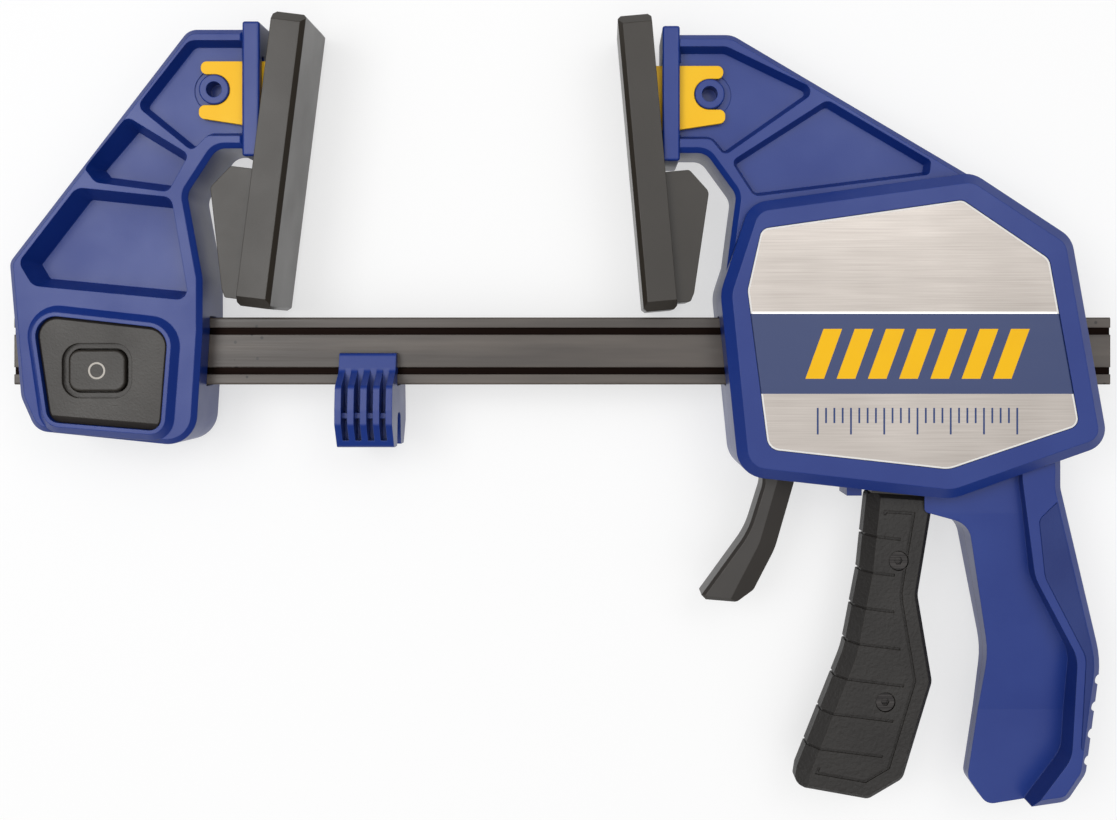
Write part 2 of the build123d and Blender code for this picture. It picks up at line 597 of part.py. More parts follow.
def housing():
    """Arm, body and handle in one, hollow and with every space cut, before it is split."""
    outline = face(HOUSING_OUTLINE)
    solid = slab(outline, -HOUSING_HALF, HOUSING_HALF)
    solid = chamfer(outer_edges(solid, HOUSING_HALF, -HOUSING_HALF), HOUSING_EDGE)
    solid += arm_body()
    solid += handle_body()
    lip = TRIGGER_LIP_HALF
    solid += block(TRIGGER_LIP_X, TRIGGER_SLOT[0], TRIGGER_LIP_BOTTOM, TRIGGER_SLOT_TOP, -lip, lip)
    inside = HOUSING_HALF - HOUSING_FACE_WALL
    cavity = slab(offset(outline, amount=-HOUSING_WALL), -inside, inside)
    for spot in BODY_SCREWS:
        cavity -= rod(spot, SCREW_RADIUS + SCREW_BOSS_WALL, -inside, inside)
    pivots = (
        (TRIGGER_PIVOT, PIN_RADIUS, CHEEK_OUTER),
        (BRAKE_PIVOT, BRAKE_PIN_RADIUS, BRAKE_PLATE_WIDTH / 2),
    )
    for spot, radius, clear in pivots:
        for boss in both_sides(rod(spot, radius + PIN_BOSS_WALL, clear + SLOT_GAP, inside)):
            cavity -= boss
    reach = SPRING_RADIUS + CUT_MARGIN
    cavity -= block(DRIVE_SEAT_X, HOUSING_OUTLINE[4][0], -reach, reach, -inside, inside)
    reach = BRAKE_SPRING_RADIUS + CUT_MARGIN
    cavity -= block(BRAKE_SEAT_X, BRAKE_SEAT_X + HOUSING_WALL, BRAKE_SPRING_Y - reach, BRAKE_SPRING_Y + reach,
                    -inside, inside)
    solid -= cavity
    solid -= bar_passage(ARM_BOSS[0], BAR_LEFT + BAR_LENGTH)
    gap = CHEEK_OUTER + SLOT_GAP
    solid -= block(*TRIGGER_SLOT, TRIGGER_SLOT_BOTTOM, TRIGGER_SLOT_TOP, -gap, gap)
    gap = LEVER_DEPTH / 2 + SLOT_GAP
    solid -= block(*LEVER_SLOT, LEVER_SLOT_BOTTOM, LEVER_SLOT_TOP, -gap, gap)
    for tool in head_cuts(ARM_BOSS, -1):
        solid -= tool
    for spot, radius, _ in pivots:
        solid -= rod(spot, radius, -inside - CUT_MARGIN, inside + CUT_MARGIN)
    solid -= slab(offset(face(LABEL_OUTLINE), amount=PLATE_FIT), HOUSING_HALF - PLATE_RECESS, HOUSING_DEPTH)
    for tool in both_sides(slab(grip_face(), HANDLE_RIM / 2 - GRIP_SINK, HOUSING_DEPTH)):
        solid -= tool
    for spot, depth in screw_places():
        solid -= rod(spot, SCREW_HEAD_RADIUS + PLATE_FIT, -HOUSING_DEPTH, -depth + SCREW_SINK + SCREW_HEAD)
        solid -= rod(spot, SCREW_RADIUS, -HOUSING_DEPTH, SCREW_BITE)
    return solid


def screw_places():
    """Each housing screw's place and the depth of the face that it goes in from."""
    in_body = [(spot, HOUSING_HALF) for spot in BODY_SCREWS]
    in_handle = [(spot, HANDLE_RIM / 2) for spot in HANDLE_SCREWS]
    return in_body + in_handle + [(ARM_SCREW, JAW_HALF - HEAD_POCKET)]


def half_of(solid, side):
    """The part of a solid in front of (1) or behind (-1) the middle plane."""
    reach = 2 * BAR_LENGTH
    return solid & Pos(0, 0, side * HOUSING_DEPTH / 2) * Box(reach, reach, HOUSING_DEPTH)


def screw(spot, head_low, tip, head_radius, shank_radius):
    """A socket screw along Z whose head starts at the given depth and whose tip points the other way."""
    way = 1 if tip > head_low else -1
    seat = head_low + way * SCREW_HEAD
    solid = rod(spot, head_radius, min(head_low, seat), max(head_low, seat))
    solid += rod(spot, shank_radius, min(seat, tip), max(seat, tip))
    socket = extrude(RegularPolygon(HEX_SOCKET, 6), amount=SCREW_HEAD / 2, both=True)
    return solid - Pos(spot[0], spot[1], head_low) * socket


def trigger_core():
    """The trigger's arm: a fork over the bar, a neck through the slot and a tongue for the grip."""
    solid = slab(face(CORE_OUTLINE), -CHEEK_OUTER, CHEEK_OUTER)
    solid -= block(0, BAR_LENGTH, FORK_BOTTOM, BAR_LENGTH, -CHEEK_INNER, CHEEK_INNER)
    solid -= rod(TRIGGER_PIVOT, PIN_RADIUS + PIN_CLEARANCE, -CHEEK_OUTER, CHEEK_OUTER)
    solid += slab(face(TONGUE_OUTLINE), -TRIGGER_TONGUE, TRIGGER_TONGUE)
    for spot in TRIGGER_SCREWS:
        solid -= rod(spot, SCREW_RADIUS + PLATE_FIT, -TRIGGER_TONGUE, TRIGGER_TONGUE)
    return solid


def trigger_grip(side):
    """One half of the trigger's grip, with a bevelled flank, a line round its panel and cross grooves."""
    outline = face(TRIGGER_OUTLINE)
    flank = face(TRIGGER_SIDE)
    top = TRIGGER_GRIP_DEPTH / 2
    floor = top - TRIGGER_RIB_DEPTH
    low = TRIGGER_FLANK_LOW
    solid = slab(outline, 0, top)
    solid = chamfer(outer_edges(solid, top), TRIGGER_GRIP_EDGE)
    solid &= bevelled(flank, low, top, TRIGGER_FLANK_WIDTH)
    inner = Pos(TRIGGER_FRAME_LEFT, 0) * flank
    frame = offset(outline, amount=-TRIGGER_FRAME) - offset(outline, amount=-TRIGGER_FRAME - TRIGGER_GROOVE)
    middle = (TRIGGER_FRAME_TOP + TRIGGER_FRAME_BOTTOM) / 2
    sides = Pos(TRIGGER_RIB_X, middle) * Rectangle(BAR_LENGTH, TRIGGER_FRAME_TOP - TRIGGER_FRAME_BOTTOM)
    solid -= slab((frame & inner) + (frame - sides), floor, HOUSING_DEPTH)
    panel = offset(outline, amount=-TRIGGER_FRAME - TRIGGER_GROOVE - TRIGGER_RIB_END)
    width = TRIGGER_FLANK_WIDTH * (floor - low) / (top - low)
    body = bevelled(Pos(TRIGGER_GROOVE, 0) * flank, low, floor, width)
    for step in range(TRIGGER_RIBS):
        level = TRIGGER_RIB_TOP - step * TRIGGER_RIB_PITCH
        stripe = Rot(Z=TRIGGER_RIB_TILT) * Rectangle(BAR_LENGTH / 4, TRIGGER_GROOVE)
        stripe = Pos(TRIGGER_RIB_X, level) * stripe
        solid -= slab((stripe & panel) + (stripe - inner), 0, top) - body
    solid -= slab(face(TONGUE_OUTLINE), 0, TRIGGER_TONGUE)
    if side < 0:
        solid = mirror(solid, about=Plane.XY)
    for spot in TRIGGER_SCREWS:
        solid -= rod(spot, SCREW_RADIUS, -SCREW_BITE, top)
        solid -= rod(spot, TRIGGER_SCREW_HEAD + PLATE_FIT, top - SCREW_HEAD - SCREW_SINK, top)
    return solid


def drive_plates():
    """The plates that the trigger pushes along the bar."""
    plates = []
    for step in range(DRIVE_PLATE_COUNT):
        x = DRIVE_PLATE_X + step * DRIVE_PLATE_THICKNESS
        half = DRIVE_PLATE_WIDTH / 2
        plate = block(x, x + DRIVE_PLATE_THICKNESS, DRIVE_PLATE_BOTTOM, DRIVE_PLATE_TOP, -half, half)
        plates.append(plate - bar_passage(x - CUT_MARGIN, x + DRIVE_PLATE_THICKNESS + CUT_MARGIN))
    return plates


def tube_along_x(x0, x1, y, radius, wall):
    """A sleeve along X, the outer size of a spring."""
    sleeve = Cylinder(radius, x1 - x0) - Cylinder(radius - wall, x1 - x0)
    return Pos((x0 + x1) / 2, y, 0) * Rot(Y=90) * sleeve


def in_brake_tilt(solid):
    """A piece drawn about the brake pivot, hung there at the brake's tilt."""
    return Pos(BRAKE_PIVOT[0], BRAKE_PIVOT[1], 0) * Rot(Z=-BRAKE_TILT) * solid


def brake_stack():
    """The brake plates, wide at the bar and narrow where they go into the lever."""
    plates = []
    tilt = math.radians(BRAKE_TILT)
    stack = BRAKE_PLATE_COUNT * BRAKE_PLATE_THICKNESS
    hole = BAR_HEIGHT / math.cos(tilt) + stack * math.tan(tilt) + 2 * BRAKE_HOLE_ROOM
    offset_x = BRAKE_PLATE_X - stack / 2
    middle = (-BRAKE_PIVOT[1] + offset_x * math.sin(tilt)) / math.cos(tilt)
    shoulder = middle - hole / 2 - BRAKE_LIP
    half = BRAKE_PLATE_WIDTH / 2
    side = BAR_FACE + BAR_CLEARANCE
    for step in range(BRAKE_PLATE_COUNT):
        far = BRAKE_PLATE_X - step * BRAKE_PLATE_THICKNESS
        x = far - BRAKE_PLATE_THICKNESS
        plate = block(x, far, shoulder, BRAKE_PLATE_TOP, -half, half)
        plate += block(x, far, BRAKE_PLATE_BOTTOM, shoulder, -BRAKE_TONGUE, BRAKE_TONGUE)
        plate -= block(x - CUT_MARGIN, far + CUT_MARGIN, middle - hole / 2, middle + hole / 2, -side, side)
        plates.append(in_brake_tilt(plate))
    return plates


def release_lever():
    """The lever: a fork over the bar, a pocket for the brake plates and a finger blade."""
    half = LEVER_DEPTH / 2
    solid = slab(face(LEVER_OUTLINE), -half, half)
    solid = chamfer(outer_edges(solid, half, -half), LEVER_EDGE)
    solid &= bevelled(face(LEVER_SIDE), LEVER_FLANK_LOW, half, LEVER_FLANK_WIDTH)
    solid -= block(0, BAR_LENGTH, FORK_BOTTOM, BAR_LENGTH, -CHEEK_INNER, CHEEK_INNER)
    solid -= rod(BRAKE_PIVOT, BRAKE_PIN_RADIUS + PIN_CLEARANCE, -half, half)
    for plate in brake_stack():
        solid -= plate
    return solid


def bar_clip():
    """The ribbed clip that hangs on the bar's lower edge."""
    plane = Plane(origin=(CLIP_X - CLIP_WIDTH / 2, 0, 0), x_dir=(0, 0, -1), z_dir=(1, 0, 0))
    front = extrude(plane * face(CLIP_PROFILE), amount=CLIP_WIDTH)
    lip = GROOVE_HEIGHT / 2 - BAR_CLEARANCE
    left = CLIP_X - CLIP_WIDTH / 2
    front += block(left, left + CLIP_WIDTH, -GROOVE_OFFSET - lip, -GROOVE_OFFSET + lip,
                   -BAR_FACE - 2 * BAR_CLEARANCE, -BAR_FACE + GROOVE_DEPTH - BAR_CLEARANCE)
    pitch = (CLIP_WIDTH + CLIP_SLOT_WIDTH) / CLIP_RIB_COUNT
    half = CLIP_SLOT_WIDTH / 2
    top = CLIP_SLOT_TOP - half
    for step in range(CLIP_RIB_COUNT - 1):
        x = left + (step + 1) * pitch - half
        slot = block(x - half, x + half, CLIP_SLOT_BOTTOM, top, -BAR_LENGTH, -CLIP_CORE)
        slot += rod((x, top), half, -BAR_LENGTH, -CLIP_CORE)
        slot -= block(x - pitch, x + pitch, CLIP_BAR_LOW, CLIP_BAR_HIGH, -CLIP_CROSSBAR, 0)
        front -= slot
    return front + mirror(front, about=Plane.XY)


def housing_screws():
    """The screws that join the shells from behind."""
    screws = []
    for spot, depth in screw_places():
        screws.append(screw(spot, -depth + SCREW_SINK, SCREW_BITE, SCREW_HEAD_RADIUS, SCREW_RADIUS))
    return screws


def trigger_screws():
    """The screws that join the trigger's grip halves from the front."""
    start = TRIGGER_GRIP_DEPTH / 2 - SCREW_SINK
    return [screw(spot, start, -SCREW_BITE, TRIGGER_SCREW_HEAD, SCREW_RADIUS) for spot in TRIGGER_SCREWS]


def handle_grip(side):
    """The textured inset of the handle's rear rim on one side."""
    top = HANDLE_RIM / 2 + GRIP_PROUD
    solid = slab(grip_face(), HANDLE_RIM / 2 - GRIP_SINK, top)
    return solid if side > 0 else mirror(solid, about=Plane.XY)


def all_nodes():
    """Every node's name and its solids, about the bar's axis."""
    shell = housing()
    inside = HOUSING_HALF - HOUSING_FACE_WALL + CUT_MARGIN
    plate_back = HOUSING_HALF - PLATE_RECESS
    drive_end = DRIVE_PLATE_X + DRIVE_PLATE_COUNT * DRIVE_PLATE_THICKNESS
    return {
        "bar": [bar()],
        "fixed_jaw": [fixed_jaw()],
        "latch_cover": [latch_cover()],
        "push_button": [push_button()],
        "latch_key": [latch_key()],
        "latch_spring": [latch_spring()],
        "fixed_pad": [place_pad(pad(), JAW_BOSS, 1, PAD_TILT_FIXED)],
        "fixed_pad_clip": [place_pad(pad_clip(PAD_TILT_FIXED), JAW_BOSS, 1, 0)],
        "moving_pad": [place_pad(pad(), ARM_BOSS, -1, PAD_TILT_MOVING)],
        "moving_pad_clip": [place_pad(pad_clip(PAD_TILT_MOVING), ARM_BOSS, -1, 0)],
        "housing_front": [half_of(shell, 1)],
        "housing_rear": [half_of(shell, -1)],
        "housing_screws": housing_screws(),
        "label_plate": [slab(face(LABEL_OUTLINE), plate_back, plate_back + PLATE_THICKNESS)],
        "handle_grip_front": [handle_grip(1)],
        "handle_grip_rear": [handle_grip(-1)],
        "trigger_core": [trigger_core()],
        "trigger_grip_front": [trigger_grip(1)],
        "trigger_grip_rear": [trigger_grip(-1)],
        "trigger_screws": trigger_screws(),
        "trigger_pin": [rod(TRIGGER_PIVOT, PIN_RADIUS, -inside, inside)],
        "drive_plates": drive_plates(),
        "drive_spring": [tube_along_x(drive_end, DRIVE_SEAT_X, 0, SPRING_RADIUS, SPRING_WALL)],
        "release_lever": [release_lever()],
        "brake_plates": brake_stack(),
        "brake_pin": [rod(BRAKE_PIVOT, BRAKE_PIN_RADIUS, -inside, inside)],
        "brake_spring": [
            tube_along_x(LEVER_BACK, BRAKE_SEAT_X, BRAKE_SPRING_Y, BRAKE_SPRING_RADIUS, BRAKE_SPRING_WALL),
        ],
        "bar_clip": [bar_clip()],
    }


def solids_of(pieces):
    """All the solids in a list of shapes."""
    found = []
    for piece in pieces:
        found += piece.solids()
    return found


nodes = {name: Compound(solids_of(pieces)) for name, pieces in all_nodes().items()}
whole = Compound(list(nodes.values())).bounding_box()
ORIGIN = Vector(-(whole.min.X + whole.max.X) / 2, -(whole.min.Y + whole.max.Y) / 2, -whole.min.Z)
print("origin shift", ORIGIN)

os.makedirs("parts", exist_ok=True)
for name, shape in nodes.items():
    export_step(Pos(ORIGIN) * shape, f"parts/{name}.step")
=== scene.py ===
"""Looks of a one-handed bar clamp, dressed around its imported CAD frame."""

from __future__ import annotations

import json
import logging
import math
from dataclasses import dataclass
from enum import Enum
from typing import Callable

import bmesh
import bpy
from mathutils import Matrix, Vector

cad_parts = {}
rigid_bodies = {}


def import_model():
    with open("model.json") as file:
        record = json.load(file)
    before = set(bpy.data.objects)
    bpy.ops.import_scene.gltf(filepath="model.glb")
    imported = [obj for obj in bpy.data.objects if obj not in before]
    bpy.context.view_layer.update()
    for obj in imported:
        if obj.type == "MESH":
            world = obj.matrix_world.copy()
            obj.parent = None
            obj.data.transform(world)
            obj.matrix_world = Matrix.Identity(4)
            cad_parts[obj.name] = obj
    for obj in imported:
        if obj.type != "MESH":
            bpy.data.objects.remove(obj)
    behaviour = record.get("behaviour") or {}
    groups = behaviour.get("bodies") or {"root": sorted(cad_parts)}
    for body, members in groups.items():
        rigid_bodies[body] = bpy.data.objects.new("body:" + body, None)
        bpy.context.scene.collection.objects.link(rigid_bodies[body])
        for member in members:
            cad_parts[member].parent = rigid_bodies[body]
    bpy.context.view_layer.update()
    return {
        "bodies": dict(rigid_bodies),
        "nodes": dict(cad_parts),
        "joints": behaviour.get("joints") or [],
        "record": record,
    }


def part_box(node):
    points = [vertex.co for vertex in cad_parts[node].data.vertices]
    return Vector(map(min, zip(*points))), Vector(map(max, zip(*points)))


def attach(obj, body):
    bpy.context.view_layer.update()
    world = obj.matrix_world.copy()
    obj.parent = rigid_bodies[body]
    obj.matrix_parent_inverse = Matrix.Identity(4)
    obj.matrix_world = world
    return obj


LOG = logging.getLogger("bar_clamp")
MM = 0.001
# Range that most of a noise pattern lies in
NOISE_RANGE = (0.3, 0.7)
# How close two points have to be to become one, in metres, in a print and in a CAD mesh
PRINT_WELD = 1e-7
CAD_WELD = 1e-6

Colour = tuple[float, float, float, float]
Range = tuple[float, float]
Value = bpy.types.NodeSocket | float | Colour


def on_screen(red: int, green: int, blue: int) -> Colour:
    """Turn a colour as a screen shows it into linear light.

    Args:
        red: Red from 0 to 255.
        green: Green from 0 to 255.
        blue: Blue from 0 to 255.

    Returns:
        The linear colour, fully opaque.
    """

    def channel(value: int) -> float:
        """One channel in linear light."""
        share = value / 255
        return share / 12.92 if share <= 0.04045 else ((share + 0.055) / 1.055) ** 2.4

    return channel(red), channel(green), channel(blue), 1.0


class NodeBench:
    """Adds and links the nodes of one shader tree."""

    # Where a Mix node keeps its sockets for colours
    MIX_SHARE = 0
    MIX_FIRST = 6
    MIX_SECOND = 7
    MIX_RESULT = 2

    def __init__(self, tree: bpy.types.NodeTree) -> None:
        """Start from an empty tree."""
        self.tree = tree
        tree.nodes.clear()

    def add(self, kind: str, **settings: object) -> bpy.types.Node:
        """Add one node.

        Args:
            kind: Blender's name of the node type.
            settings: Properties of the node and their values.

        Returns:
            The new node.
        """
        node = self.tree.nodes.new(kind)
        for name, value in settings.items():
            setattr(node, name, value)
        return node

    def feed(self, socket: bpy.types.NodeSocket, value: Value) -> None:
        """Link a socket into an input, or set the input's number or colour.

        Args:
            socket: The input.
            value: What it gets.
        """
        if isinstance(value, bpy.types.NodeSocket):
            self.tree.links.new(value, socket)
        else:
            socket.default_value = value

    def sum(self, operation: str, first: Value, second: Value = 0.0) -> bpy.types.NodeSocket:
        """Work out one number from two.

        Args:
            operation: Name of the Math node's operation.
            first: First number.
            second: Second number.

        Returns:
            The result's socket.
        """
        node = self.add("ShaderNodeMath", operation=operation)
        self.feed(node.inputs[0], first)
        self.feed(node.inputs[1], second)
        return node.outputs[0]

    def spread(
        self, value: Value, low: float, high: float, to_low: float, to_high: float,
    ) -> bpy.types.NodeSocket:
        """Map a range of numbers on another one, cut off at its ends.

        Args:
            value: Number to map.
            low: Start of its range.
            high: End of its range.
            to_low: What the start becomes.
            to_high: What the end becomes.

        Returns:
            The mapped number's socket.
        """
        node = self.add("ShaderNodeMapRange")
        self.feed(node.inputs["Value"], value)
        node.inputs["From Min"].default_value = low
        node.inputs["From Max"].default_value = high
        node.inputs["To Min"].default_value = to_low
        node.inputs["To Max"].default_value = to_high
        return node.outputs["Result"]

    def blend(self, share: Value, first: Value, second: Value) -> bpy.types.NodeSocket:
        """Mix two colours.

        Args:
            share: How much of the second colour shows, from 0 to 1.
            first: Colour at 0.
            second: Colour at 1.

        Returns:
            The mixed colour's socket.
        """
        node = self.add("ShaderNodeMix", data_type="RGBA")
        self.feed(node.inputs[self.MIX_SHARE], share)
        self.feed(node.inputs[self.MIX_FIRST], first)
        self.feed(node.inputs[self.MIX_SECOND], second)
        return node.outputs[self.MIX_RESULT]

    def place(self) -> bpy.types.NodeSocket:
        """The point's place in the part's frame."""
        return self.add("ShaderNodeTexCoord").outputs["Object"]

    def axes(self) -> bpy.types.NodeOutputs:
        """Split the point's place in the part's frame.

        Returns:
            The sockets of X, Y and Z.
        """
        split = self.add("ShaderNodeSeparateXYZ")
        self.feed(split.inputs[0], self.place())
        return split.outputs

    def stretched(self, scale: tuple[float, float, float]) -> bpy.types.NodeSocket:
        """Scale the point's place along each axis.

        Args:
            scale: Factor along each axis.

        Returns:
            The scaled place's socket.
        """
        node = self.add("ShaderNodeMapping")
        node.inputs["Scale"].default_value = scale
        self.feed(node.inputs["Vector"], self.place())
        return node.outputs["Vector"]

    def noise(self, place: bpy.types.NodeSocket, scale: Value, detail: float) -> bpy.types.NodeSocket:
        """A cloudy pattern.

        Args:
            place: Coordinates that it follows.
            scale: Clouds to the metre.
            detail: Octaves of finer clouds.

        Returns:
            The pattern's socket, from 0 to 1.
        """
        node = self.add("ShaderNodeTexNoise")
        self.feed(node.inputs["Vector"], place)
        self.feed(node.inputs["Scale"], scale)
        node.inputs["Detail"].default_value = detail
        return node.outputs["Fac"]

    def use(self, group: bpy.types.NodeTree, **values: Value) -> bpy.types.Node:
        """Place a shared effect and set its inputs.

        Args:
            group: The effect.
            values: Its inputs by name.

        Returns:
            The effect's node.
        """
        node = self.add("ShaderNodeGroup", node_tree=group)
        for name, value in values.items():
            self.feed(node.inputs[name], value)
        return node


class Effects:
    """Shader groups that several finishes share, each built once."""

    BEVEL_SAMPLES = 6
    EDGE_TURN = (0.995, 0.8)
    GRAIN_DETAIL = 3.0
    CLOUD_DETAIL = 5.0
    LINE_STRETCH = (0.012, 1.0, 1.0)
    LINE_DETAIL = 2.0
    BAND_STRETCH = (0.1, 1.0, 1.0)
    BAND_SHARE = 0.06
    BAND_DETAIL = 3.0
    SPECK_RIM = (0.12, 0.2)
    PATCH_SHARE = 0.06
    PATCH_DETAIL = 3.0
    PATCH_LEVEL = 0.62

    def __init__(self) -> None:
        """Build every group."""
        self.rounding = self._group("rounded_edges", ("Radius",), ("Edge",), self._fill_rounding, ("Normal",))
        self.grain = self._group("mould_grain", ("Scale", "Cloud"), ("Height", "Tone"), self._fill_grain)
        self.lines = self._group("drawn_lines", ("Fineness",), ("Height", "Tone"), self._fill_lines)
        self.specks = self._group("specks", ("Scale", "Cover"), ("Mask",), self._fill_specks)
        self.seam = self._group("seam_line", ("Level", "Width"), ("Mask",), self._fill_seam)

    @staticmethod
    def _group(
        name: str, inputs: tuple[str, ...], outputs: tuple[str, ...],
        fill: Callable[[NodeBench, bpy.types.Node, bpy.types.Node], None], vectors: tuple[str, ...] = (),
    ) -> bpy.types.NodeTree:
        """Make one group.

        Args:
            name: The group's name.
            inputs: Names of its number inputs.
            outputs: Names of its number outputs.
            fill: What adds its nodes, given the bench and its input and output nodes.
            vectors: Names of its vector outputs.

        Returns:
            The group.
        """
        tree = bpy.data.node_groups.new(name, "ShaderNodeTree")
        for label in inputs:
            tree.interface.new_socket(label, in_out="INPUT", socket_type="NodeSocketFloat")
        for label in outputs:
            tree.interface.new_socket(label, in_out="OUTPUT", socket_type="NodeSocketFloat")
        for label in vectors:
            tree.interface.new_socket(label, in_out="OUTPUT", socket_type="NodeSocketVector")
        bench = NodeBench(tree)
        fill(bench, bench.add("NodeGroupInput"), bench.add("NodeGroupOutput"))
        return tree

    @staticmethod
    def _fill_rounding(bench: NodeBench, given: bpy.types.Node, out: bpy.types.Node) -> None:
        """Softened normals at sharp edges, and where those edges are.

        Args:
            bench: The group's bench.
            given: Its input node.
            out: Its output node.
        """
        bevel = bench.add("ShaderNodeBevel", samples=Effects.BEVEL_SAMPLES)
        bench.feed(bevel.inputs["Radius"], given.outputs["Radius"])
        flat = bench.add("ShaderNodeNewGeometry")
        turn = bench.add("ShaderNodeVectorMath", operation="DOT_PRODUCT")
        bench.feed(turn.inputs[0], bevel.outputs["Normal"])
        bench.feed(turn.inputs[1], flat.outputs["True Normal"])
        bench.feed(out.inputs["Edge"], bench.spread(turn.outputs["Value"], *Effects.EDGE_TURN, 0.0, 1.0))
        bench.feed(out.inputs["Normal"], bevel.outputs["Normal"])

    @staticmethod
    def _fill_grain(bench: NodeBench, given: bpy.types.Node, out: bpy.types.Node) -> None:
        """The fine bumps that a mould leaves, and large pale clouds.

        Args:
            bench: The group's bench.
            given: Its input node.
            out: Its output node.
        """
        place = bench.place()
        bench.feed(out.inputs["Height"], bench.noise(place, given.outputs["Scale"], Effects.GRAIN_DETAIL))
        bench.feed(out.inputs["Tone"], bench.noise(place, given.outputs["Cloud"], Effects.CLOUD_DETAIL))

    @staticmethod
    def _fill_lines(bench: NodeBench, given: bpy.types.Node, out: bpy.types.Node) -> None:
        """Fine lines along the bar, and broad bands among them.

        Args:
            bench: The group's bench.
            given: Its input node.
            out: Its output node.
        """
        fine = bench.stretched(Effects.LINE_STRETCH)
        bench.feed(out.inputs["Height"], bench.noise(fine, given.outputs["Fineness"], Effects.LINE_DETAIL))
        broad = bench.stretched(Effects.BAND_STRETCH)
        coarse = bench.sum("MULTIPLY", given.outputs["Fineness"], Effects.BAND_SHARE)
        bench.feed(out.inputs["Tone"], bench.noise(broad, coarse, Effects.BAND_DETAIL))

    @staticmethod
    def _fill_specks(bench: NodeBench, given: bpy.types.Node, out: bpy.types.Node) -> None:
        """Scattered small marks, gathered in patches.

        Args:
            bench: The group's bench.
            given: Its input node.
            out: Its output node.
        """
        place = bench.place()
        cells = bench.add("ShaderNodeTexVoronoi")
        bench.feed(cells.inputs["Vector"], place)
        bench.feed(cells.inputs["Scale"], given.outputs["Scale"])
        near = bench.spread(cells.outputs["Distance"], *Effects.SPECK_RIM, 1.0, 0.0)
        coarse = bench.sum("MULTIPLY", given.outputs["Scale"], Effects.PATCH_SHARE)
        patches = bench.noise(place, coarse, Effects.PATCH_DETAIL)
        covered = bench.sum("ADD", patches, given.outputs["Cover"])
        wanted = bench.sum("GREATER_THAN", covered, Effects.PATCH_LEVEL)
        bench.feed(out.inputs["Mask"], bench.sum("MULTIPLY", near, wanted))

    @staticmethod
    def _fill_seam(bench: NodeBench, given: bpy.types.Node, out: bpy.types.Node) -> None:
        """A thin line all round at one height.

        Args:
            bench: The group's bench.
            given: Its input node.
            out: Its output node.
        """
        away = bench.sum("ABSOLUTE", bench.sum("SUBTRACT", bench.axes()["Z"], given.outputs["Level"]))
        bench.feed(out.inputs["Mask"], bench.sum("LESS_THAN", away, given.outputs["Width"]))


class Surface:
    """A material under way: its Principled shader and the bench that feeds it."""

    def __init__(self, name: str) -> None:
        """Make the material with its shader and output.

        Args:
            name: The material's name.
        """
        self.material = bpy.data.materials.new(name)
        self.material.use_nodes = True
        self.bench = NodeBench(self.material.node_tree)
        self.shader = self.bench.add("ShaderNodeBsdfPrincipled")
        output = self.bench.add("ShaderNodeOutputMaterial")
        self.bench.feed(output.inputs["Surface"], self.shader.outputs["BSDF"])

    def put(self, **values: Value) -> None:
        """Feed the shader's inputs, named with underscores for spaces."""
        for name, value in values.items():
            self.bench.feed(self.shader.inputs[name.replace("_", " ")], value)

    def relief(self, height: Value, depth: float, normal: Value) -> None:
        """Raise the surface by a pattern.

        Args:
            height: Pattern from 0 to 1.
            depth: Height of the pattern in metres.
            normal: Normal that it stands on.
        """
        bump = self.bench.add("ShaderNodeBump")
        bump.inputs["Distance"].default_value = depth
        self.bench.feed(bump.inputs["Height"], height)
        self.bench.feed(bump.inputs["Normal"], normal)
        self.put(Normal=bump.outputs["Normal"])


class Mould(Enum):
    """How a mould's steel was finished: bumps to the metre and their height in metres."""

    SATIN = (2600.0, 0.02 * MM)
    SPARK = (1500.0, 0.07 * MM)
    PEBBLE = (950.0, 0.26 * MM)

    @property
    def scale(self) -> float:
        """Bumps to the metre."""
        return self.value[0]

    @property
    def depth(self) -> float:
        """Height of the bumps in metres."""
        return self.value[1]


